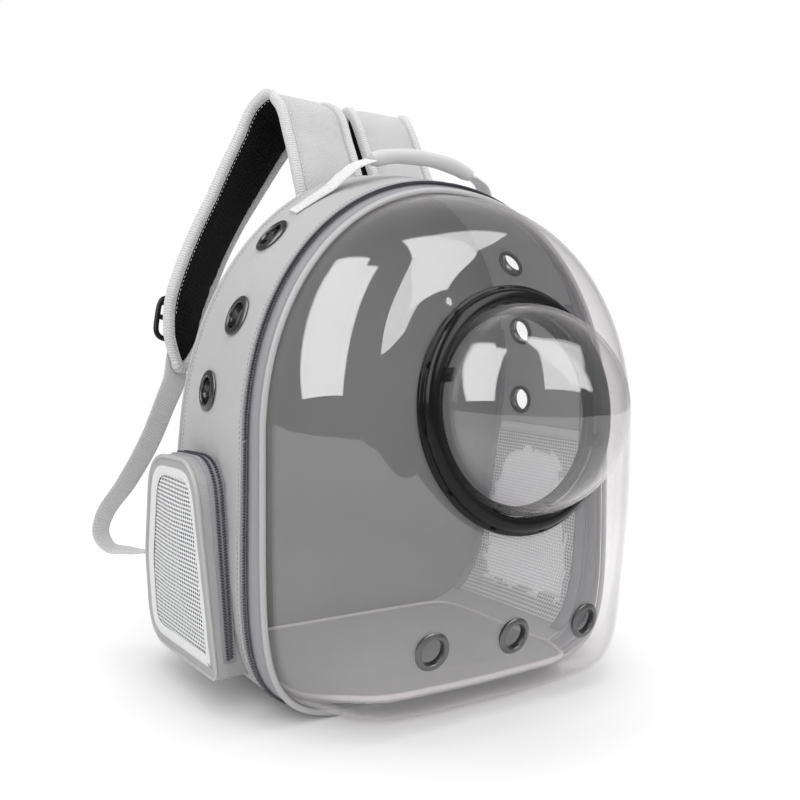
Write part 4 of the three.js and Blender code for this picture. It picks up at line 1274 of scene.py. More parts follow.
@dataclass
class ClearFront:
    """The clear moulded front: a skirt inside the front seam, a swept wall and the flat window seat."""

    seat: Seat
    outline: Outline = OUTLINE
    sides: int = 220
    steps: int = 7
    inset: float = 4.5
    skirt: float = 9.0
    wall: float = 1.6
    hole: float = 89.0
    table: Tuple[Tuple[float, float, float, float], ...] = (
        (0.0, 0.0, 0.0, 0.0),
        (0.22, 0.06, 0.002, 0.045),
        (0.44, 0.16, 0.008, 0.12),
        (0.64, 0.29, 0.032, 0.23),
        (0.8, 0.43, 0.1, 0.38),
        (0.91, 0.58, 0.5, 0.55),
        (0.975, 0.75, 0.8, 0.76),
        (1.0, 1.0, 1.0, 1.0),
    )

    def shares(self, spot: float) -> Tuple[float, float, float, float]:
        """The table's columns at a place between its rows, on a smooth rising curve."""
        low = min(int(spot), len(self.table) - 2)
        part = spot - low
        found = []
        for column in range(4):
            values = [row[column] for row in self.table]
            slopes = []
            for index in (low, low + 1):
                before = values[index] - values[index - 1] if index else values[1] - values[0]
                after = values[index + 1] - values[index] if index + 1 < len(values) else before
                both = before * after
                slopes.append(2 * both / (before + after) if both > 0 else 0.0)
            squared, cubed = part ** 2, part ** 3
            found.append(
                values[low] * (2 * cubed - 3 * squared + 1) + slopes[0] * (cubed - 2 * squared + part)
                + values[low + 1] * (3 * squared - 2 * cubed) + slopes[1] * (cubed - squared)
            )
        return tuple(found)

    def wall_point(self, angle: float, spot: float) -> Vector:
        """A point of the swept wall, from its rim at 0 to the seat's edge at the last row."""
        rim = self.outline.point(angle, 0, self.inset)
        seat = self.seat.point(angle, self.seat.radius)
        forward, side, foot, crown = self.shares(spot)
        up, down = max(0.0, math.sin(angle)), max(0.0, -math.sin(angle))
        inward = mix(mix(side, crown, up * up * (3 - 2 * up)), foot, down ** 3)
        return Vector((mix(rim.x, seat.x, inward), mix(rim.y, seat.y, forward), mix(rim.z, seat.z, inward)))

    def build(self) -> bpy.types.Object:
        """Grows the wall row by row, opens its three vents and gives it its thickness."""
        angles = self.outline.angles(self.sides)
        rows = [[self.outline.point(a, 0, self.inset, self.skirt * k) for a in angles] for k in (1.0, 0.5)]
        last = len(self.table) - 1
        for step in range(last * self.steps + 1):
            rows.append([self.wall_point(angle, step / self.steps) for angle in angles])
        for share in (0.3, 0.65, 1.0):
            radius = mix(self.seat.radius, self.hole, share)
            rows.append([self.seat.point(angle, radius) for angle in angles])
        mesh = facing(grown(rows, ring=True), BAG_MIDDLE)
        for word in VentRings().front_names:
            centre, axis = Vent(f"shell_grommet_{word}").seat()
            open_round(mesh, centre, axis, 11.5 * MM)
        thing = Piece("clear_front", mesh, CLEAR, stands_for=("front_shell",), wall=self.wall).put()
        return thing


@dataclass
class BubbleWindow:
    """The black window ring, the turning collar with its catches, and the clear bubble."""

    seat: Seat
    sides: int = 128
    ring_radius: float = 97.4
    bore: float = 82.9
    neck: float = 88.7
    lip: float = 94.7
    collar: float = 82.0
    collar_bore: float = 74.6
    bubble: float = 82.0
    bubble_wall: float = 2.2
    bubble_lift: float = 4.0

    def turned(self, profile: Sequence[Tuple[float, float]]) -> bmesh.types.BMesh:
        """A profile spun about the window's axis, put in its place."""
        mesh = lathe(profile, self.sides)
        bmesh.ops.transform(mesh, matrix=self.seat.matrix(), verts=mesh.verts[:])
        return mesh

    def ring(self) -> None:
        """The ring: a rounded rim on a thin flange, gripping the edge of the clear front."""
        r, b = self.ring_radius, self.bore
        profile = [
            (b, 7.6), (b + 0.3, 9.0), (b + 1.2, 10.2), (b + 3.0, 10.9), (b + 5.6, 11.0), (b + 8.2, 10.4),
            (r - 4.4, 9.0), (r - 3.2, 7.0), (r - 2.8, 4.8), (r - 2.9, 4.0), (r - 2.5, 3.5), (r - 0.7, 3.3),
            (r - 0.1, 2.8), (r, 1.9), (r, 0.7), (r - 0.4, 0.3), (self.neck, 0.3), (self.neck, -1.9),
            (self.lip, -1.9), (self.lip + 0.3, -2.6), (self.lip, -4.5), (b, -4.5), (b, -2.7), (b + 4, -2.7),
            (b + 4, 1.5), (b, 1.5),
        ]
        Piece("window_ring_rim", self.turned(profile), BLACK_GLOSS, stands_for=("window_ring",), sharp=50).put()

    def catches(self) -> None:
        """Small catches on the ring's flange."""
        mesh = bmesh.new()
        for index in range(12):
            angle = 2 * math.pi * (index + 0.3) / 12
            spot = Matrix.Rotation(angle, 4, "Z") @ Matrix.Translation((self.ring_radius - 1.6, 0, 3.6))
            result = bmesh.ops.create_cube(mesh, size=1, matrix=spot @ Matrix.Diagonal((1.5, 5.2, 1.0, 1)))
            edges = list({edge for vert in result["verts"] for edge in vert.link_edges})
            bmesh.ops.bevel(mesh, geom=edges, offset=0.3, affect="EDGES", segments=2, profile=0.5, material=-1)
        bmesh.ops.transform(mesh, matrix=self.seat.matrix(), verts=mesh.verts[:])
        Piece("window_ring_catches", mesh, BLACK_GLOSS).put()

    def collar_sleeve(self) -> None:
        """The collar that turns inside the ring, with its four tabs."""
        c, b = self.collar, self.collar_bore
        profile = [
            (c, -6.0), (c, 1.2), (c - 0.4, 1.5), (b + 1.6, 1.5), (b + 0.5, 1.1), (b, 0.2), (b, -5.2),
            (b + 0.4, -5.8), (b + 1, -6.0),
        ]
        parts = [lathe(profile, self.sides)]
        for index in range(4):
            middle = 2 * math.pi * (index + 0.5) / 4
            tab = lathe([(c - 2, -2.1), (c + 4.0, -2.1), (c + 4.0, 0.9), (c - 2, 0.9)], 10, 0.32 / DEGREE)
            bmesh.ops.rotate(tab, matrix=Matrix.Rotation(middle - 0.16, 3, "Z"), verts=tab.verts[:])
            parts.append(tab)
        mesh = joined(parts)
        bmesh.ops.transform(mesh, matrix=self.seat.matrix(), verts=mesh.verts[:])
        Piece("collar_sleeve", mesh, BLACK_GLOSS, Body.BUBBLE, ("dome_collar",), sharp=50).put()

    def dome(self) -> bpy.types.Object:
        """The clear bubble: two spherical skins, a straight foot and a small bead at the ring."""
        outer, inner, lift = self.bubble, self.bubble - self.bubble_wall, self.bubble_lift
        arc = [math.pi / 2 * index / 30 for index in range(31)]
        profile = [(inner, 1.8), (outer - 0.3, 1.8), (outer, 2.1)]
        for angle in arc:
            bead = 0.35 * math.exp(-((angle - 0.085) / 0.02) ** 2)
            reach = outer + bead
            profile.append((reach * math.cos(angle), lift + outer * math.sin(angle)))
        profile[-1] = (0.0, lift + outer)
        for angle in reversed(arc[::2]):
            profile.append((inner * math.cos(angle), lift + inner * math.sin(angle)))
        profile[len(arc) + 3] = (0.0, lift + inner)
        return Piece("clear_bubble", self.turned(profile), CLEAR, Body.BUBBLE, ("dome",), sharp=60).put()

    def clips(self) -> None:
        """Four black clips on the bubble's foot, seen just inside the ring."""
        mesh = bmesh.new()
        for index in range(4):
            angle = 2 * math.pi * (index + 0.78) / 4
            spot = Matrix.Rotation(angle, 4, "Z") @ Matrix.Translation((self.bubble - 4.2, 0, 9.0))
            result = bmesh.ops.create_cube(mesh, size=1, matrix=spot @ Matrix.Diagonal((2.2, 11, 9, 1)))
            edges = list({edge for vert in result["verts"] for edge in vert.link_edges})
            bmesh.ops.bevel(mesh, geom=edges, offset=0.7, affect="EDGES", segments=2, profile=0.5, material=-1)
        bmesh.ops.transform(mesh, matrix=self.seat.matrix(), verts=mesh.verts[:])
        Piece("bubble_clips", mesh, BLACK_GLOSS, Body.BUBBLE).put()

    def build(self) -> bpy.types.Object:
        """Makes the window's pieces and gives the bubble."""
        self.ring()
        self.catches()
        self.collar_sleeve()
        self.clips()
        return self.dome()


# Side pockets and inner nets


@dataclass(frozen=True)
class PocketLoop:
    """The side pocket's rounded outline in y and z, on the bag's flank."""

    corners: Tuple[Tuple[float, float, float], ...] = (
        (0.195, 27, 9), (0.905, 24, 44), (0.98, 100, 70), (0.925, 190, 45), (0.345, 195, 36),
    )
    spacing: float = 4.0

    def loop(self, inset: float = 0.0) -> np.ndarray:
        """Points of the outline, evenly spaced, moved inwards by a distance."""
        spots = [np.array((OUTLINE.to_y(depth, height), height)) for depth, height, _ in self.corners]
        path: List[np.ndarray] = []
        for index, (_, _, radius) in enumerate(self.corners):
            spot, before, after = spots[index], spots[index - 1], spots[(index + 1) % len(spots)]
            back = (before - spot) / np.linalg.norm(before - spot)
            ahead = (after - spot) / np.linalg.norm(after - spot)
            half = math.acos(float(np.clip(back @ ahead, -1, 1))) / 2
            room = min(np.linalg.norm(before - spot), np.linalg.norm(after - spot))
            reach = min(radius / math.tan(half), 0.45 * room)
            start, end = spot + back * reach, spot + ahead * reach
            for share in np.linspace(0, 1, 14):
                first, second = start + (spot - start) * share, spot + (end - spot) * share
                path.append(first + (second - first) * share)
        closed = np.array(path + [path[0]])
        run = np.concatenate([[0], np.cumsum(np.linalg.norm(np.diff(closed, axis=0), axis=1))])
        count = int(run[-1] / self.spacing)
        places = np.linspace(0, run[-1], count, endpoint=False)
        loop = np.stack([np.interp(places, run, closed[:, axis]) for axis in range(2)], axis=1)
        heading = np.roll(loop, -1, 0) - np.roll(loop, 1, 0)
        heading /= np.linalg.norm(heading, axis=1)[:, None]
        inward = np.stack([-heading[:, 1], heading[:, 0]], axis=1)
        return loop + inward * inset

    def distance(self, y: float, z: float) -> float:
        """How far a place on the flank lies outside the outline; less than 0 is inside."""
        loop = POCKET_POINTS
        ahead = np.roll(loop, -1, 0)
        run = ahead - loop
        share = np.clip(((np.array((y, z)) - loop) * run).sum(1) / (run ** 2).sum(1), 0, 1)
        apart = float(np.linalg.norm(loop + run * share[:, None] - (y, z), axis=1).min())
        crossed = ((loop[:, 1] > z) != (ahead[:, 1] > z)) & (
            y < (ahead[:, 0] - loop[:, 0]) * (z - loop[:, 1]) / (ahead[:, 1] - loop[:, 1] + 1e-12) + loop[:, 0]
        )
        return -apart if crossed.sum() % 2 else apart

    def inside(self, y: float, z: float, margin: float) -> bool:
        """Whether a place lies inside the outline by more than a margin."""
        return self.distance(y, z) < -margin


POCKET_POINTS = PocketLoop(spacing=6.0).loop()


@dataclass
class SidePocket:
    """One raised side pocket: a boxed cloth wall, a piped frame, a zip and a net window."""

    side: Side
    outline: PocketLoop
    stand: float = 23.0
    lean: float = 0.07
    middle: float = 110.0
    half: float = 181.7
    frame_width: float = 15.0
    coil_stand: float = 8.7
    coil_pitch: float = 2.3

    def x_at(self, stand: float, z: float) -> float:
        """How far out a place at a stand-off from the flank is."""
        return self.half + stand + self.lean * (z - self.middle) * max(0.0, stand / self.stand)

    def row(self, inset: float, stand: float) -> List[Vector]:
        """The outline at an inset and a stand-off, on the right side."""
        return [Vector((self.x_at(stand, z), y, z)) for y, z in self.outline.loop(inset)]

    def foot(self, inset: float, sink: float) -> List[Vector]:
        """The outline where it meets the cloth wall of the bag."""
        return [Vector((OUTLINE.wall_x(y, z) - sink, y, z)) for y, z in self.outline.loop(inset)]

    def slack(self, rows: List[List[Vector]], amount: float) -> List[List[Vector]]:
        """Rows with the small waves of sewn cloth."""
        return [
            [p + Vector((noise.noise(p / 17), noise.noise(p / 15 + Vector((9, 0, 0))), 0)) * amount for p in row]
            for row in rows
        ]

    def put(self, name: str, mesh: bmesh.types.BMesh, finish: Finish, **more: Any) -> bpy.types.Object:
        """Mirrors a mesh to the pocket's side and makes it a piece."""
        mirrored(mesh, self.side)
        if more.pop("closed", True):
            bmesh.ops.recalc_face_normals(mesh, faces=mesh.faces[:])
        return Piece(f"{self.side.word}_{name}", mesh, finish, **more).put()

    def wall(self) -> None:
        """The boxed wall and the frame round the net, with a soft outer edge."""
        s = self.stand
        body = [
            self.row(-0.2, 6.5), self.row(-0.6, 9.0), self.row(-0.8, 12.0), self.row(-0.7, 15.0),
            self.row(-0.4, 18.0), self.row(0.2, 20.6), self.row(1.2, s - 0.8), self.row(2.8, s + 0.1),
            self.row(5.0, s + 0.5), self.row(8.0, s + 0.7), self.row(11.5, s + 0.5),
            self.row(self.frame_width - 0.8, s), self.row(self.frame_width, s - 0.7),
        ]
        rows = [self.foot(0.0, 0.6), self.foot(0.2, -1.2)] + self.slack(body, 0.45)
        rows.append(self.row(self.frame_width, s - 2.4))
        mesh = grown(rows, ring=True)
        centre = placed(self.half - 10, 90, 110)
        facing(mesh, centre)
        mirrored(mesh, self.side)
        Piece(
            f"{self.side.word}_pocket_cloth", mesh, POCKET_CLOTH,
            stands_for=(f"{self.side.word}_pocket",), wall=1.6,
        ).put()

    def cords(self) -> None:
        """The piping round the pocket's outer edge, and the binding round the net."""
        parts = []
        for inset, stand, radius in ((1.0, self.stand - 0.6, 1.7),):
            rows = []
            for step in range(10):
                turn = 2 * math.pi * step / 10
                rows.append(self.row(inset + radius * math.cos(turn), stand + radius * math.sin(turn)))
            parts.append(grown(rows, ring=True, tube=True))
        self.put("pocket_piping", joined(parts), PIPING_CLOTH)
        s, w = self.stand, self.frame_width
        profile = ((w - 6.4, s + 0.5), (w - 5.9, s + 1.1), (w - 3, s + 1.1), (w - 0.5, s + 0.7), (w + 1.8, s - 0.1),
                   (w + 2.1, s - 0.6), (w + 1.6, s - 0.9), (w - 1, s - 0.4), (w - 6, s + 0.2))
        rows = [self.row(inset, stand) for inset, stand in profile]
        self.put("pocket_net_hem", grown(rows, ring=True, tube=True), WHITE_WEBBING)

    def net(self) -> None:
        """The net window, stretched across the frame and a little crowned."""
        mesh = bmesh.new()
        loop = self.outline.loop()
        low, high = loop.min(0), loop.max(0)
        size = Matrix.Diagonal(((high[0] - low[0]) / 2, (high[1] - low[1]) / 2, 1, 1))
        shift = Matrix.Translation(((high[0] + low[0]) / 2, (high[1] + low[1]) / 2, 0))
        bmesh.ops.create_grid(mesh, x_segments=40, y_segments=40, size=1, matrix=shift @ size)
        gone = [f for f in mesh.faces if self.outline.distance(*f.calc_center_median().xy) > -self.frame_width + 5]
        bmesh.ops.delete(mesh, geom=gone, context="FACES")
        for vert in mesh.verts:
            y, z = vert.co.x, vert.co.y
            inside = max(0.0, -self.outline.distance(y, z) - self.frame_width)
            crown = 2.4 * smooth_share(inside, 0, 45) + noise.noise(Vector((y, z, 3)) / 40) * 0.8
            vert.co = placed(self.x_at(self.stand - 1.3 + crown, z), y, z)
        facing(mesh, placed(self.half - 60, 90, 110))
        area = sum(face.calc_area() for face in mesh.faces)
        mirrored(mesh, self.side)
        thing = Piece(
            f"{self.side.word}_pocket_net", mesh, WHITE_NET, stands_for=(f"{self.side.word}_pocket_mesh",)
        ).put()
        width, height = float(high[0] - low[0]) * MM, float(high[1] - low[1]) * MM

    def lining(self) -> None:
        """The pocket's back: a dark sheet of painted shade towards the pocket, and a white sheet with a painted glow
        towards the cabin's net.
        """
        # The first sheet is painted shade; the second is white with a painted glow of back-light.
        layers = ("lining", PAINTED_SHADE_LINING, 1.2, True), ("painted_glow_backing", PAINTED_GLOW_LINING, 2.2, False)
        for name, finish, inset, outwards in layers:
            rows = []
            for depth in np.linspace(0.2, 0.97, 44):
                heights = np.linspace(26, 194, 56)
                rows.append([OUTLINE.point(OUTLINE.angle_at(height), depth, inset) for height in heights])
            mesh = facing(grown(rows), BAG_MIDDLE, outwards)
            gone = []
            for face in mesh.faces:
                spot = face.calc_center_median() / MM
                if self.outline.distance(spot.y + FLOOR_MIDDLE, spot.z) > -8:
                    gone.append(face)
            bmesh.ops.delete(mesh, geom=gone, context="FACES")
            Piece(f"{self.side.word}_pocket_{name}", mirrored(mesh, self.side), finish).put()

    def zip(self) -> None:
        """The pocket's zip: tape round the front and head of the wall, and two rows of coil turns."""
        loop = self.outline.loop()
        back = OUTLINE.to_y(0.8, 190)
        keep = [
            index for index, (y, z) in enumerate(loop)
            if index > len(loop) // 3 and ((y < back and z > 150) or (y < OUTLINE.to_y(0.5, z) and z > 36))
        ]
        profile = ((2.4, -1.0), (2.9, -1.5), (5.8, -1.6), (8.7, -1.3), (11.6, -1.6), (14.6, -1.5), (15.1, -1.0))
        strip = [[row[index] for index in keep] for row in (self.row(inset, stand) for stand, inset in profile)]
        mesh = facing(grown(strip), placed(self.half, 90, 110))
        mirrored(mesh, self.side)
        Piece(f"{self.side.word}_pocket_tape", mesh, TAPE_CLOTH, wall=0.9).put()
        teeth = bmesh.new()
        line = [np.array(loop[index]) for index in keep]
        run = np.concatenate([[0], np.cumsum(np.linalg.norm(np.diff(np.array(line), axis=0), axis=1))])
        for row_side, shift in ((-1, 0.0), (1, 0.5)):
            for number in range(int(run[-1] / self.coil_pitch) - 1):
                place = (number + shift + 0.5) * self.coil_pitch
                y, z = (float(np.interp(place, run, np.array(line)[:, axis])) for axis in range(2))
                ahead = [float(np.interp(place + 0.5, run, np.array(line)[:, axis])) for axis in range(2)]
                heading = Vector((0, ahead[0] - y, ahead[1] - z)).normalized()
                out = heading.cross(Vector((1, 0, 0)))
                stand = self.coil_stand + row_side * 2.0
                spot = Vector((self.x_at(stand, z), y, z)) - out * -2.1
                if self.outline.distance(spot.y, spot.z) < 0:
                    out = -out
                    spot = Vector((self.x_at(stand, z), y, z)) + out * 2.1
                turn = Matrix((heading, Vector((1, 0, 0)), out)).transposed().to_4x4()
                turn = turn @ Matrix.Rotation(row_side * 0.42, 4, "Z")
                size = Matrix.Diagonal((0.95 * MM, 1.9 * MM, 0.95 * MM, 1))
                matrix = Matrix.Translation(placed(*spot)) @ turn @ size
                bmesh.ops.create_icosphere(teeth, subdivisions=1, radius=1.0, matrix=matrix)
        self.put("pocket_coil_turns", teeth, COIL, stands_for=(f"{self.side.word}_pocket_coil",))

    def build(self) -> None:
        """Makes the pocket's pieces."""
        self.wall()
        self.cords()
        self.net()
        self.lining()
        self.zip()


@dataclass
class InnerNet:
    """The net over one side window, inside the cabin, with its bindings."""

    side: Side
    foot: float = 16.0
    head: float = 205.0
    front: float = 0.2
    back: float = 0.93
    inset: float = 3.4

    def patch(self, depths: Sequence[float], heights: Sequence[float], inset: float) -> bmesh.types.BMesh:
        """A patch that follows the inside of the wall.

        Args:
            depths: shares of the bag's depth, one row each.
            heights: heights, one column each.
            inset: how far inside the outline it lies.

        Returns:
            The mesh, facing into the cabin, on the net's side.
        """
        rows = []
        for depth in depths:
            rows.append([OUTLINE.point(OUTLINE.angle_at(height), depth, inset) for height in heights])
        mesh = facing(grown(rows), BAG_MIDDLE, False)
        return mirrored(mesh, self.side)

    def build(self) -> None:
        """Makes the net, its head binding and the tapes at its ends."""
        heights = np.linspace(self.foot, self.head, 40)
        depths = np.linspace(self.front, self.back, 30)
        mesh = self.patch(depths, heights, self.inset)
        area = sum(face.calc_area() for face in mesh.faces)
        word = self.side.word
        thing = Piece(f"cabin_net_{word}", mesh, WHITE_NET, stands_for=(f"inner_mesh_{word}",)).put()
        head = self.patch(depths, np.linspace(self.head - 6, self.head + 3, 4), self.inset + 0.5)
        Piece(f"cabin_net_head_{word}", head, WHITE_WEBBING, wall=0.9).put()
        ends = []
        for low, high, foot, top in ((0.158, 0.225, 12, 330), (0.935, 0.985, 14, 300)):
            ends.append(self.patch(np.linspace(low, high, 6), np.linspace(foot, top, 60), self.inset + 0.7))
        Piece(f"cabin_tapes_{word}", joined(ends), TAPE_CLOTH, wall=0.8).put()


# Padded pieces


@dataclass(frozen=True)
class Inflation:
    """A short cloth simulation that swells a padded piece, with a cap on how far it moves."""

    voxel: float = 0.005
    pressure: float = 4.0
    cap: float = 0.003
    frames: int = 20

    def swell(self, thing: bpy.types.Object) -> None:
        """Remeshes, simulates, caps the move, and puts the result into the mesh.

        Args:
            thing: the padded piece, which keeps its name and materials.
        """
        bpy.context.view_layer.objects.active = thing
        remesh = thing.modifiers.new("remesh", "REMESH")
        remesh.mode = "VOXEL"
        remesh.voxel_size = self.voxel
        self.apply(thing)
        start = np.empty(len(thing.data.vertices) * 3)
        thing.data.vertices.foreach_get("co", start)
        cloth = thing.modifiers.new("cloth", "CLOTH")
        cloth.settings.use_pressure = True
        cloth.settings.uniform_pressure_force = self.pressure
        cloth.settings.effector_weights.gravity = 0.0
        cloth.settings.quality = 5
        cloth.point_cache.frame_start = 1
        cloth.point_cache.frame_end = self.frames
        scene = bpy.context.scene
        for number in range(1, self.frames + 1):
            scene.frame_set(number)
        self.apply(thing)
        scene.frame_set(1)
        end = np.empty(len(thing.data.vertices) * 3)
        thing.data.vertices.foreach_get("co", end)
        move = (end - start).reshape(-1, 3)
        reach = np.linalg.norm(move, axis=1)
        limited = move * (self.cap * np.tanh(reach / self.cap) / np.maximum(reach, 1e-9))[:, None]
        thing.data.vertices.foreach_set("co", (start.reshape(-1, 3) + limited).ravel())
        thing.data.update()
        smooth = thing.modifiers.new("smooth", "SUBSURF")
        smooth.levels = 1
        smooth.render_levels = 1
        self.apply(thing)
        thing.data.polygons.foreach_set("use_smooth", [True] * len(thing.data.polygons))
        LOG.info("%s: swelled by up to %.1f mm", thing.name, float(reach.max()) / MM)

    def apply(self, thing: bpy.types.Object) -> None:
        """Puts the piece's modifiers into its mesh."""
        graph = bpy.context.evaluated_depsgraph_get()
        fresh = bpy.data.meshes.new_from_object(thing.evaluated_get(graph))
        old = thing.data
        thing.modifiers.clear()
        thing.data = fresh
        bpy.data.meshes.remove(old)
        fresh.name = thing.name


def disc_rows(
    outline: Outline, insets: Sequence[float], shares: Sequence[float], count: int,
    behind: Callable[[float, float], float], depth: float = 1.0,
) -> List[List[Vector]]:
    """Rings from the outline to its middle.

    Args:
        outline: the bag's outline.
        insets: ring distances in from the outline, nearest the edge.
        shares: the rest, as shares of the way to the middle.
        count: points on a ring.
        behind: how far behind the back seam's plane a place lies, by x and height.
        depth: the share of the depth that the rings lie at.

    Returns:
        The rings.
    """
    angles = outline.angles(count)
    middle = Vector((0, 205))
    flats = []
    for inset in insets:
        flats.append([outline.at(a, depth) - outline.normal(a, depth) * inset for a in angles])
    for share in shares:
        flats.append([point.lerp(middle, share) for point in flats[len(insets) - 1]])
    rows = []
    for ring in flats:
        row = []
        for flat in ring:
            height = max(flat.y, 0.6)
            row.append(Vector((flat.x, outline.to_y(depth, height) + behind(flat.x, height), height)))
        rows.append(row)
    return rows


@dataclass
class BackPanel:
    """The padded panel on the wearer's side, and the lining that shows inside the cabin."""

    outline: Outline = OUTLINE
    rise: float = 7.0
    puff: float = 5.0
    sides: int = 150

    def pad_height(self, x: float, z: float) -> float:
        """How far the pad stands behind the seam plane, with sewn channels."""
        edge = smooth_share(168 - abs(x), 0, 26) * smooth_share(z, 14, 44) * smooth_share(430 - z, 4, 44)
        channels = [abs(abs(x) - 22), abs(z - 118) * 1.0, abs(z - 262) * 1.0, abs(z - 352) * 1.2]
        if abs(x) < 22:
            channels = [abs(abs(x) - 22)]
        groove = 1.0
        for distance in channels:
            groove *= 1 - 0.85 * math.exp(-((distance / 7.5) ** 2))
        hollow = 0.45 if abs(x) < 22 else 1.0
        return self.rise + self.puff * edge * groove * hollow

    def build(self) -> None:
        """Makes the back pad and the lining."""
        insets = (4.2, 5.0, 7.5, 11.0, 16.0, 22.0, 30.0)
        shares = tuple(1 - (1 - step / 26) for step in range(1, 26))
        outer = disc_rows(self.outline, insets, shares, self.sides, self.pad_height)
        sides = [[point + Vector((0, offset, 0)) for point in outer[0]] for offset in (-8.5, -5.5, -2.5)]
        mesh = capped(grown(sides + outer, ring=True))
        thing = Piece("back_pad", mesh, BACK_MESH, stands_for=("back_panel",), sharp=60).put()
        Inflation(0.006, 4.0, 0.0015).swell(thing)

        def lining(x: float, z: float) -> float:
            """The lining's place, a little slack over the board."""
            slack = noise.noise(Vector((x, z, 7)) / 70) * 1.4
            return -4.0 + slack * smooth_share(170 - abs(x), 0, 40) * smooth_share(z, 6, 40)

        rows = disc_rows(self.outline, (2.9, 4.0, 8.0, 16.0, 30.0), shares, self.sides, lining)
        inner = grown(rows, ring=True)
        hub = placed(0, 160, 205)
        near = [e for e in inner.edges if e.is_boundary and (e.verts[0].co - hub).length < 0.05]
        bmesh.ops.holes_fill(inner, edges=near, sides=0)
        facing(inner, placed(0, 400, 215))
        Piece("cabin_back_lining", inner, PANEL_CLOTH, wall=1.0).put()


@dataclass
class FloorMat:
    """The mat on the cabin floor, with piping round its top edge."""

    piping: float = 2.4
    sides: int = 160
    rounding: int = 16
    front_lift: float = 12.0

    def lift(self, y: float) -> float:
        """How far the mat's front rides up on the curved foot of the clear front."""
        return self.front_lift * smooth_share(-y, -35, 56)

    def outline(self) -> np.ndarray:
        """The mat's outline in x and y, in millimetres of the row frame, read from its solid."""
        places = np.array([tuple(vert.co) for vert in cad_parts["floor_mat"].data.vertices]) / MM
        top = places[places[:, 2] > places[:, 2].max() - 0.2][:, :2]
        middle = (top.max(0) + top.min(0)) / 2
        turn = np.arctan2(top[:, 1] - middle[1], top[:, 0] - middle[0])
        loop = top[np.argsort(turn)]
        closed = np.vstack([loop, loop[:1]])
        run = np.concatenate([[0], np.cumsum(np.linalg.norm(np.diff(closed, axis=0), axis=1))])
        even = np.linspace(0, run[-1], self.sides, endpoint=False)
        smooth = np.stack([np.interp(even, run, closed[:, axis]) for axis in range(2)], axis=1)
        for _ in range(self.rounding):
            smooth = (np.roll(smooth, 1, 0) + smooth * 2 + np.roll(smooth, -1, 0)) / 4
        return smooth

    def build(self) -> None:
        """Makes the felt slab and its piping."""
        low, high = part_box("floor_mat")
        floor, top = low[2] / MM, high[2] / MM
        loop = self.outline()
        middle = (loop.max(0) + loop.min(0)) / 2
        heading = np.roll(loop, -1, 0) - np.roll(loop, 1, 0)
        heading /= np.linalg.norm(heading, axis=1)[:, None]
        inward = np.stack([-heading[:, 1], heading[:, 0]], axis=1)

        def ring(inset: float, height: float, share: float = 0.0) -> List[Vector]:
            """One ring of the slab, in the bag's own millimetres."""
            flat = loop + inward * inset
            flat = flat + (middle - flat) * share
            soft = [noise.noise(Vector((x, y, 0)) / 45) * 0.8 * min(1.0, share * 6) for x, y in flat]
            level = [height + rise + self.lift(y + FLOOR_MIDDLE) for (_, y), rise in zip(flat, soft)]
            return [Vector((x, y + FLOOR_MIDDLE, z)) for (x, y), z in zip(flat, level)]

        rows = [ring(2.0, floor + 0.2), ring(0.8, floor + 0.8), ring(0.5, mix(floor, top, 0.5))]
        rows += [ring(1.6, top - 1.0), ring(3.4, top - 0.6), ring(6.5, top - 0.1), ring(11, top + 0.2)]
        rows += [ring(11, top + 0.3, share / 14) for share in range(1, 14)]
        mesh = capped(grown(rows, ring=True))
        thing = Piece("cabin_mat", mesh, MAT_CLOTH, stands_for=("floor_mat",), sharp=70).put()
        tube = []
        for step in range(10):
            turn = 2 * math.pi * step / 10
            radius = self.piping
            inset, height = 2.0 + radius * math.cos(turn), top - 0.9 + radius * math.sin(turn)
            flat = loop + inward * inset
            tube.append([Vector((x, y + FLOOR_MIDDLE, height + self.lift(y + FLOOR_MIDDLE))) for x, y in flat])
        edge = grown(tube, ring=True, tube=True)
        bmesh.ops.recalc_face_normals(edge, faces=edge.faces[:])
        Piece("cabin_mat_piping", edge, MAT_EDGE).put()


# Handle and straps


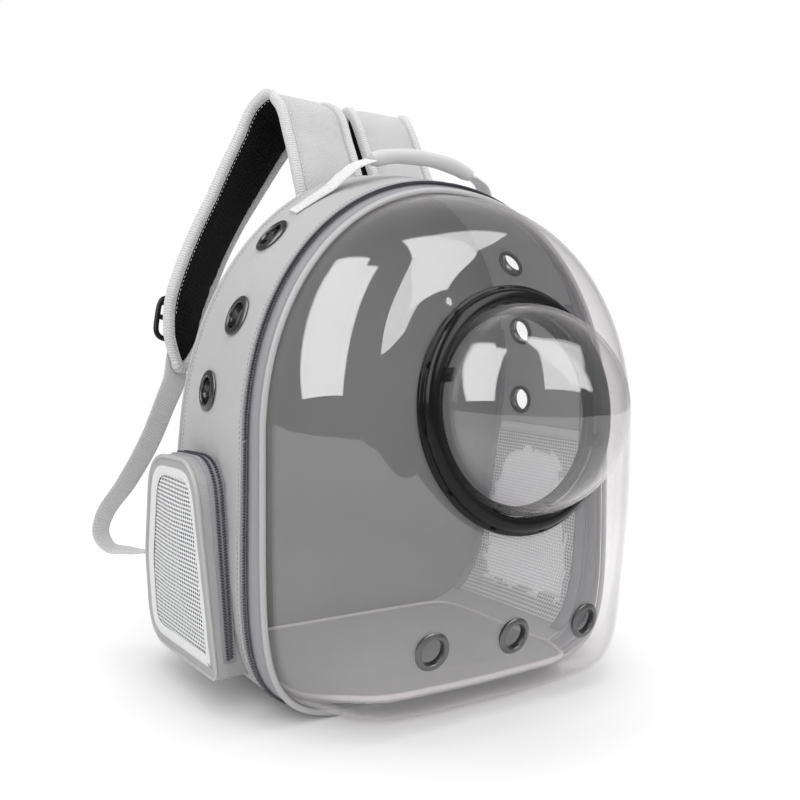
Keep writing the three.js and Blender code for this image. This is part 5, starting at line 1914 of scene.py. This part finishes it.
@dataclass
class TopHandle:
    """The padded grip and its two webbing legs on top of the bag."""

    grip_radius: float = 6.6
    web_width: float = 20.0
    web_thickness: float = 1.8
    grip_rows: Tuple[Tuple[float, float, float], ...] = (
        (-48, 16.5, 0.47), (-27, 17.5, 0.47), (0, 17.5, 0.47), (27, 17.5, 0.47), (48, 16.5, 0.47),
    )
    leg_rows: Tuple[Tuple[float, float, float], ...] = (
        (48.7, 16.3, 0.47), (62, 14.6, 0.48), (72, 9.5, 0.52), (84, 3.2, 0.58), (96, 1.3, 0.62), (112, 1.3, 0.66),
    )

    def place(self, across: float, rise: float, depth: float) -> Vector:
        """A place above the bag's crown."""
        share = min(1.0, abs(2 * across / OUTLINE.front_width))
        angle = math.acos(math.copysign(share ** (OUTLINE.crown / 2), across))
        normal = OUTLINE.normal(angle, depth)
        return OUTLINE.point(angle, depth) + Vector((normal.x, 0, normal.y)) * rise

    def grip(self) -> None:
        """The grip: a cloth-covered roll, fuller in the middle, with a seam underneath."""
        curve = Curve(tuple(self.place(*row) for row in self.grip_rows))
        rows = []
        count = 44
        for step in range(count + 1):
            share = step / count
            heading = curve.heading(share)
            side = heading.cross(Vector((0, 0, 1))).normalized()
            up = side.cross(heading).normalized()
            end = min(share, 1 - share)
            radius = self.grip_radius * (0.78 + 0.22 * smooth_share(end, 0.0, 0.07)) + 0.25 * math.sin(share * 19)
            ring = []
            for index in range(28):
                turn = 2 * math.pi * index / 28
                seam = 0.7 * math.exp(-(((turn - math.pi * 1.5) / 0.16) ** 2))
                reach = radius - seam
                ring.append(curve.at(share) + side * (reach * 1.12 * math.cos(turn)) + up * (reach * math.sin(turn)))
            rows.append(ring)
        mesh = capped(grown(rows, ring=True))
        thing = Piece("grip_roll", mesh, GRIP_CLOTH, stands_for=("handle_grip",), sharp=70).put()

    def leg(self, side: Side) -> None:
        """One webbing leg, from the grip's end down to its stitched foot."""
        table = [dict(zip(("across", "rise", "depth"), row)) for row in self.leg_rows]

        def slant(blend: Callable[[str], float]) -> Vector:
            """The direction of the webbing's width."""
            across, depth = blend("across"), blend("depth")
            return self.place(across, 0, depth + 0.05) - self.place(across, 0, depth - 0.05)

        sections = ribbon_sections(
            table, 46, lambda row: self.place(row["across"], row["rise"], row["depth"]), slant,
            lambda blend: self.web_width,
        )
        rows = [section_ring(s, flat_corners(s.width, self.web_thickness)) for s in sections]
        mesh = mirrored(capped(grown(rows, ring=True)), side)
        bmesh.ops.recalc_face_normals(mesh, faces=mesh.faces[:])
        Piece(f"handle_leg_{side.word}", mesh, WHITE_WEBBING, stands_for=(f"handle_web_{side.word}",)).put()
        foot = sections[27:45]
        out = foot[0].face if foot[0].face.z > 0 else -foot[0].face
        lines = []
        for across in (-8.2, 8.2):
            faces = [s.face if s.face.dot(out) > 0 else -s.face for s in foot]
            lines.append([s.centre + s.along * across + face * 1.1 for s, face in zip(foot, faces)])
        for index in (0, -1):
            s = foot[index]
            face = s.face if s.face.dot(out) > 0 else -s.face
            lines.append([s.centre + s.along * a + face * 1.1 for a in (-8.2, 0, 8.2)])
        corner = [(foot[0], -8.2), (foot[-1], 8.2)], [(foot[0], 8.2), (foot[-1], -8.2)]
        for (first, a), (second, b) in corner:
            lines.append([
                first.centre + first.along * a + (first.face if first.face.dot(out) > 0 else -first.face) * 1.4,
                second.centre + second.along * b + (second.face if second.face.dot(out) > 0 else -second.face) * 1.4,
            ])
        stitches = mirrored(joined([Stitches(2.4, 1.0, 0.3).along(line) for line in lines]), side)
        Piece(f"handle_leg_stitches_{side.word}", stitches, THREAD).put()

    def build(self) -> None:
        """Makes the grip and both legs."""
        self.grip()
        for side in Side:
            self.leg(side)


@dataclass
class ShoulderStrap:
    """One shoulder strap: a bound pad, its webbing and its ladder-lock."""

    side: Side
    width: float = 70.0
    thickness: float = 11.0
    web_width: float = 25.0
    web_thickness: float = 1.6
    binding: float = 4.6
    rows: Tuple[Tuple[float, ...], ...] = (
        (42, 0, 388, 0, 1), (42, 5, 408, 0, 1.02), (43, 19, 436, 0, 1.04), (42, 50, 478, 0, 1.02),
        (42, 78, 511, 0, 1.02), (47, 100, 519, 2, 1), (56, 115, 506, 7, 0.97), (71, 118, 474, 17, 0.93),
        (102, 112, 412, 29, 0.9), (123, 103, 369, 33, 0.9), (144, 86, 317, 33, 0.86), (151, 73, 285, 27, 0.64),
        (154, 65, 262, 20, 0.24),
    )
    web_rows: Tuple[Tuple[float, ...], ...] = (
        (152, 87, 280, 26, 0), (155, 79, 264, 22, 0), (160, 68, 246, 18, 0), (170, 59, 226, 20, 0),
        (187, 48, 189, 22, 0), (209, 37, 154, 26, 0), (229, 28.5, 128, 32, 0), (233, 23.5, 111, 40, 0),
        (225, 18.5, 98.5, 48, 0), (209, 14.5, 94.5, 52, 2), (194, 10, 92.5, 50, 12), (180, 5, 90.5, 20, 55),
        (166, 0.6, 89, 0, 86), (138, 0, 88, 0, 90),
    )

    def place(self, row: Dict[str, float], thickness: float) -> Vector:
        """Where a row's middle lies, behind the back panel."""
        y = OUTLINE.back_plane(row["height"]) + 7.3 + thickness / 2 + row["back"]
        return Vector((row["out"], y, row["height"]))

    def direction(self, blend: Callable[[str], float]) -> Vector:
        """The direction of the strap's width."""
        turn, tip = blend("turn") * DEGREE, blend("tip") * DEGREE
        lean = Vector((0, -(OUTLINE.back_foot - OUTLINE.back_head) / OUTLINE.back_height, 1)).normalized()
        return Vector((math.cos(turn), -math.sin(turn), 0)) * math.cos(tip) + lean * math.sin(tip)

    def sections(self) -> List[Section]:
        """The pad's sections."""
        table = [dict(zip(("out", "back", "height", "turn", "width"), row)) for row in self.rows]
        return ribbon_sections(
            table, 132, lambda row: self.place(row, self.thickness), self.direction,
            lambda blend: self.width * blend("width"),
        )

    def web_sections(self) -> List[Section]:
        """The webbing's sections."""
        table = [dict(zip(("out", "back", "height", "turn", "tip"), row)) for row in self.web_rows]
        return ribbon_sections(
            table, 110, lambda row: self.place(row, self.web_thickness), self.direction, lambda blend: self.web_width,
        )

    def half_width(self, sections: List[Section], index: int) -> float:
        """Half the pad's width, kept to at least 7 mm."""
        section = sections[index]
        return max(section.width / 2, 7.0)

    def pad_ring(self, half: float, thin: float) -> List[Tuple[float, float]]:
        """The corners of a pad section: a crowned lens with rounded edges."""
        ring = []
        for index in range(28):
            turn = 2 * math.pi * index / 28
            across, out = math.cos(turn), math.sin(turn)
            x = half * math.copysign(abs(across) ** 0.5, across)
            crown = thin * (0.62 + 0.38 * (1 - abs(x / half) ** 2.6))
            ring.append((x, crown * math.copysign(abs(out) ** 0.6, out)))
        return ring

    def tag(self, thing: bpy.types.Object, sections: List[Section]) -> None:
        """Writes each vertex's place in the cloth: across the pad, along it and out of it."""
        data = thing.data
        spots = np.empty(len(data.vertices) * 3)
        data.vertices.foreach_get("co", spots)
        spots = spots.reshape(-1, 3)
        spots[:, 0] *= self.side.value
        centres = np.array([tuple(placed(*section.centre)) for section in sections])
        run = np.concatenate([[0], np.cumsum(np.linalg.norm(np.diff(centres, axis=0), axis=1))])
        frames = [np.array([tuple(getattr(s, key)) for s in sections]) for key in ("along", "heading", "face")]
        values = np.empty_like(spots)
        for start in range(0, len(spots), 4000):
            part = spots[start:start + 4000]
            near = np.linalg.norm(part[:, None] - centres[None], axis=2).argmin(1)
            reach = part - centres[near]
            for axis, directions in enumerate(frames):
                values[start:start + 4000, axis] = (reach * directions[near]).sum(1)
            values[start:start + 4000, 1] += run[near]
        layer = data.attributes.new("cloth", "FLOAT_VECTOR", "POINT")
        layer.data.foreach_set("vector", values.astype(np.float32).ravel())

    def pad(self, sections: List[Section]) -> None:
        """The pad itself, swelled between its bindings."""
        rows = []
        for index, section in enumerate(sections):
            half = self.half_width(sections, index) - 2.5
            end = smooth_share(min(index, len(sections) - 1 - index), 0, 5)
            rows.append(section_ring(section, self.pad_ring(half, self.thickness / 2 * mix(0.55, 0.93, end))))
        mesh = mirrored(capped(grown(rows, ring=True)), self.side)
        bmesh.ops.recalc_face_normals(mesh, faces=mesh.faces[:])
        word = self.side.word
        thing = Piece(f"shoulder_pad_{word}", mesh, STRAP_PAD, stands_for=(f"strap_pad_{word}",), sharp=80).put()
        Inflation(0.0045, 4.0, 0.0014).swell(thing)
        self.tag(thing, sections)

    def bound_edge(self, sections: List[Section]) -> None:
        """The knitted binding, folded over the pad's edge and round its tip."""
        path: List[Tuple[Vector, Vector, Vector]] = []
        count = len(sections)
        for index in range(count):
            s = sections[index]
            path.append((s.centre + s.along * (self.half_width(sections, index) - 3.2), s.along, s.face))
        tip = sections[-1]
        reach = self.half_width(sections, count - 1) - 3.2
        for step in range(1, 8):
            turn = math.pi * step / 8
            out = tip.along * math.cos(turn) + tip.heading * math.sin(turn)
            spot = tip.centre + tip.along * (reach * math.cos(turn)) + tip.heading * (reach * math.sin(turn))
            path.append((spot, out, tip.face))
        for index in reversed(range(count)):
            s = sections[index]
            path.append((s.centre - s.along * (self.half_width(sections, index) - 3.2), -s.along, s.face))
        rows = []
        for number, (centre, out, face) in enumerate(path):
            ring = []
            for index in range(14):
                turn = 2 * math.pi * index / 14
                across = self.binding * math.copysign(abs(math.cos(turn)) ** 0.8, math.cos(turn))
                deep = (self.thickness / 2 - 0.3) * math.copysign(abs(math.sin(turn)) ** 0.7, math.sin(turn))
                ring.append(centre + out * across + face * deep)
            rows.append(ring)
        mesh = mirrored(capped(grown(rows, ring=True)), self.side)
        bmesh.ops.recalc_face_normals(mesh, faces=mesh.faces[:])
        Piece(f"shoulder_binding_{self.side.word}", mesh, BINDING, sharp=80).put()

    def webbing(self) -> None:
        """The webbing from the ladder-lock to the foot of the back."""
        rows = [section_ring(s, flat_corners(s.width, self.web_thickness)) for s in self.web_sections()]
        mesh = mirrored(capped(grown(rows, ring=True)), self.side)
        bmesh.ops.recalc_face_normals(mesh, faces=mesh.faces[:])
        word = self.side.word
        Piece(f"shoulder_webbing_{word}", mesh, WEBBING, stands_for=(f"strap_web_{word}",)).put()

    def lock_frame(self) -> Tuple[Vector, Vector, Vector, Vector]:
        """The ladder-lock's place, its directions across and up, and the way it faces, in millimetres."""
        places = np.array([tuple(vert.co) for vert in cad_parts["buckle_right"].data.vertices]) / MM
        middle = (places.max(0) + places.min(0)) / 2
        _, axes = np.linalg.eigh(np.cov((places - places.mean(0)).T))
        out, across, up = (Vector([float(v) for v in axes[:, index]]) for index in range(3))
        if up.z < 0:
            up = -up
        return Vector([float(v) for v in middle]) + Vector((0, FLOOR_MIDDLE, 0)), across, up, out

    def ladder_lock(self) -> None:
        """A glossy ladder-lock: a rounded frame with two bars across it."""
        centre, across, up, out = self.lock_frame()
        parts = []
        half_width, half_height = 14.4, 20.4
        path = []
        for index in range(72):
            turn = 2 * math.pi * index / 72
            x = half_width * math.copysign(abs(math.cos(turn)) ** 0.5, math.cos(turn))
            y = half_height * math.copysign(abs(math.sin(turn)) ** 0.5, math.sin(turn))
            path.append((x, y, math.cos(turn), math.sin(turn)))
        rows = []
        for index in range(12):
            turn = 2 * math.pi * index / 12
            reach, lift = 2.5 * math.cos(turn), 2.9 * math.sin(turn)
            rows.append([
                centre + across * (x + reach * nx) + up * (y + reach * ny) + out * lift for x, y, nx, ny in path
            ])
        parts.append(grown(rows, ring=True, tube=True))
        for place, thick in ((0.0, 2.6), (13.5, 1.7)):
            rows = []
            for step in range(9):
                x = mix(-half_width, half_width, step / 8)
                rows.append([
                    centre + across * x + up * (place + thick * math.cos(t)) + out * (2.5 * math.sin(t))
                    for t in (2 * math.pi * index / 10 for index in range(10))
                ])
            parts.append(capped(grown(rows, ring=True)))
        mesh = mirrored(joined(parts), self.side)
        bmesh.ops.recalc_face_normals(mesh, faces=mesh.faces[:])
        word = self.side.word
        Piece(f"ladder_lock_{word}", mesh, BLACK_GLOSS, stands_for=(f"buckle_{word}",), sharp=60).put()

    def stitches(self, sections: List[Section]) -> None:
        """Stitch lines along the inner edge of the binding, on both faces."""
        lines = []
        for edge in (-1, 1):
            for face in (-1, 1):
                lines.append([
                    s.centre + s.along * (edge * (self.half_width(sections, i) - 7.2)) + s.face * (face * 5.25)
                    for i, s in enumerate(sections[4:-16], start=4)
                ])
        mesh = mirrored(joined([Stitches(2.8, 1.6, 0.3).along(line) for line in lines]), self.side)
        Piece(f"shoulder_stitches_{self.side.word}", mesh, THREAD).put()

    def build(self) -> None:
        """Makes the strap's pieces."""
        sections = self.sections()
        self.pad(sections)
        self.bound_edge(sections)
        self.webbing()
        self.ladder_lock()
        self.stitches(sections)


# Camera and studio


@dataclass(frozen=True)
class Camera:
    """The photograph's camera."""

    place: Tuple[float, float, float] = (-0.49084, -0.73175, 0.30069)
    yaw: float = 35.72
    pitch: float = -4.03
    roll: float = 2.19
    lens: float = 42.43
    shift: Tuple[float, float] = (-0.0222, -0.0032)

    def axes(self) -> Tuple[Vector, Vector, Vector]:
        """The camera's right, up and forward directions."""
        yaw, pitch, roll = self.yaw * DEGREE, self.pitch * DEGREE, self.roll * DEGREE
        ahead = Vector((math.sin(yaw) * math.cos(pitch), math.cos(yaw) * math.cos(pitch), math.sin(pitch)))
        level = Vector((math.cos(yaw), -math.sin(yaw), 0))
        up = level.cross(ahead)
        right = level * math.cos(roll) + up * math.sin(roll)
        return right, up * math.cos(roll) - level * math.sin(roll), ahead

    def ray(self, x: float, y: float) -> Vector:
        """The direction from the camera through a pixel of an 800 by 800 picture."""
        right, up, ahead = self.axes()
        focal = self.lens / 36
        across = (x / 800 - 0.5) / focal + self.shift[0] / focal
        above = (0.5 - y / 800) / focal + self.shift[1] / focal
        return (ahead + right * across + up * above).normalized()

    def build(self) -> None:
        """Makes the camera and gives it to the scene."""
        data = bpy.data.cameras.new("photo_camera")
        data.lens, data.sensor_width = self.lens, 36.0
        data.shift_x, data.shift_y = self.shift
        data.clip_start = 0.01
        thing = bpy.data.objects.new("photo_camera", data)
        right, up, ahead = self.axes()
        turn = Matrix((right, up, -ahead)).transposed().to_4x4()
        thing.matrix_world = Matrix.Translation(Vector(self.place)) @ turn
        bpy.context.scene.collection.objects.link(thing)
        bpy.context.scene.camera = thing


@dataclass
class Studio:
    """A pale floor, an even white surround, soft lights and the softboxes that the plastic mirrors."""

    camera: Camera
    world: float = 0.96
    mirrored_world: float = 0.3
    reach: float = 1.6
    boxes: Tuple[Tuple[str, float, float, Tuple[Tuple[float, float], ...]], ...] = (
        ("front", 1.0, 1.0, ((336, 258), (371, 257.6), (339, 375), (305.7, 376))),
        ("front", 1.0, 1.0, ((401.8, 241.3), (464, 238.4), (452, 306), (400, 318))),
        ("bubble", 1.0, 1.0, ((465.3, 352.4), (507, 349), (492.5, 400), (466, 399))),
        ("bubble", 0.8, 1.0, ((533, 340), (581, 345.6), (582, 393), (547, 388.6))),
    )

    def floor(self) -> None:
        """A wide pale floor."""
        mesh = bmesh.new()
        bmesh.ops.create_grid(mesh, x_segments=8, y_segments=8, size=6)
        bmesh.ops.translate(mesh, vec=(0, 0, -0.0004), verts=mesh.verts[:])
        data = bpy.data.meshes.new("studio_floor")
        mesh.to_mesh(data)
        mesh.free()
        thing = bpy.data.objects.new("studio_floor", data)
        data.materials.append(STUDIO_FLOOR.material())
        bpy.context.scene.collection.objects.link(thing)

    def surround(self) -> None:
        """An even surround, dimmer where glossy surfaces mirror it."""
        world = bpy.data.worlds.new("studio")
        world.use_nodes = True
        tree = world.node_tree
        tree.nodes.clear()
        path = tree.nodes.new("ShaderNodeLightPath")
        level = tree.nodes.new("ShaderNodeMath")
        level.operation = "MULTIPLY_ADD"
        tree.links.new(path.outputs["Is Glossy Ray"], level.inputs[0])
        level.inputs[1].default_value = self.mirrored_world - self.world
        level.inputs[2].default_value = self.world
        back = tree.nodes.new("ShaderNodeBackground")
        back.inputs["Color"].default_value = (1, 1, 1, 1)
        tree.links.new(level.outputs[0], back.inputs["Strength"])
        seen = tree.nodes.new("ShaderNodeBackground")
        seen.inputs["Color"].default_value = (1, 1, 1, 1)
        seen.inputs["Strength"].default_value = 1.0
        choose = tree.nodes.new("ShaderNodeMixShader")
        tree.links.new(path.outputs["Is Camera Ray"], choose.inputs[0])
        tree.links.new(back.outputs[0], choose.inputs[1])
        tree.links.new(seen.outputs[0], choose.inputs[2])
        out = tree.nodes.new("ShaderNodeOutputWorld")
        tree.links.new(choose.outputs[0], out.inputs["Surface"])
        bpy.context.scene.world = world

    def light(self, name: str, place: Vector, aim: Vector, size: float, power: float) -> None:
        """A soft square light.

        Args:
            name: the light's name.
            place: where it hangs, in metres.
            aim: the point it looks at.
            size: its side, in metres.
            power: its power, in watts.
        """
        data = bpy.data.lights.new(name, "AREA")
        data.energy, data.size = power, size
        thing = bpy.data.objects.new(name, data)
        thing.matrix_world = Matrix.Translation(place) @ (aim - place).to_track_quat("-Z", "Y").to_matrix().to_4x4()
        thing.visible_glossy = False
        bpy.context.scene.collection.objects.link(thing)

    def softbox(
        self, name: str, surface: BVHTree, corners: Sequence[Tuple[float, float]], strength: float, stretch: float
    ) -> None:
        """A bright card placed so that a surface mirrors it between the given pixels.

        Args:
            name: the card's name.
            surface: the mirroring surface.
            corners: the pixels of its four corners, the upper two first.
            strength: its brightness.
            stretch: how much longer the card is than between those pixels.
        """
        eye = Vector(self.camera.place)
        mesh = bmesh.new()
        spots = []
        for x, y in corners:
            ray = self.camera.ray(x, y)
            hit, normal, _, _ = surface.ray_cast(eye, ray)
            if hit is None:
                LOG.warning("softbox %s: pixel %s,%s meets nothing", name, x, y)
                mesh.free()
                return
            if normal.dot(ray) > 0:
                normal = -normal
            spots.append(hit + (ray - normal * 2 * ray.dot(normal)) * self.reach)
        spots[2], spots[3] = spots[1].lerp(spots[2], stretch), spots[0].lerp(spots[3], stretch)
        mesh.faces.new([mesh.verts.new(spot) for spot in spots])
        data = bpy.data.meshes.new(name)
        mesh.to_mesh(data)
        mesh.free()
        kit = NodeKit(name)
        glow = kit.out(kit.node("ShaderNodeEmission", None, {"Color": (1, 1, 1), "Strength": strength}))
        data.materials.append(kit.done(glow))
        thing = bpy.data.objects.new(name, data)
        bpy.context.scene.collection.objects.link(thing)
        thing.visible_camera = thing.visible_diffuse = thing.visible_shadow = thing.visible_transmission = False

    def build(self, surfaces: Dict[str, bpy.types.Object]) -> None:
        """Lights the scene."""
        self.floor()
        self.surround()
        self.light("key_light", Vector((-1.3, -1.5, 2.0)), Vector((0, 0, 0.25)), 1.4, 7)
        self.light("top_light", Vector((0.2, 0.1, 2.4)), Vector((0, 0, 0.2)), 1.6, 16)
        graph = bpy.context.evaluated_depsgraph_get()
        trees = {key: BVHTree.FromObject(thing, graph) for key, thing in surfaces.items()}
        for number, (key, strength, stretch, corners) in enumerate(self.boxes):
            self.softbox(f"softbox_{number}", trees[key], corners, strength * 4.8, stretch)
        scene = bpy.context.scene
        scene.view_settings.view_transform = "Standard"
        scene.view_settings.look = "None"


@dataclass
class Carrier:
    """The whole bag, piece by piece."""

    seat: Seat
    pocket: PocketLoop
    made: Dict[str, bpy.types.Object]

    def steps(self) -> List[Tuple[str, Callable[[], Any]]]:
        """The sub-assemblies, in the order they are made."""
        plan: List[Tuple[str, Callable[[], Any]]] = [
            ("back panel", BackPanel().build),
            ("cloth wall", lambda: ClothWall().build(self.pocket)),
            ("clear front", lambda: self.made.update(front=ClearFront(self.seat).build())),
            ("bubble window", lambda: self.made.update(bubble=BubbleWindow(self.seat).build())),
            ("vent rings", VentRings().build),
            ("floor mat", FloorMat().build),
            ("top handle", TopHandle().build),
        ]
        for side in Side:
            plan.append((f"{side.word} pocket", SidePocket(side, self.pocket).build))
            plan.append((f"{side.word} net", InnerNet(side).build))
            plan.append((f"{side.word} strap", ShoulderStrap(side).build))
        return plan

    def build(self) -> None:
        """Makes every sub-assembly and reports it."""
        for name, make in self.steps():
            LOG.info("making the %s", name)
            make()


def main() -> None:
    """Builds the camera, the bag and the studio."""
    logging.basicConfig(level=logging.INFO, format="%(name)s: %(message)s")
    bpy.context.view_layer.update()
    camera = Camera()
    camera.build()
    carrier = Carrier(Seat(), PocketLoop(), {})
    carrier.build()
    Studio(camera).build(carrier.made)


if __name__ == "__main__":
    main()
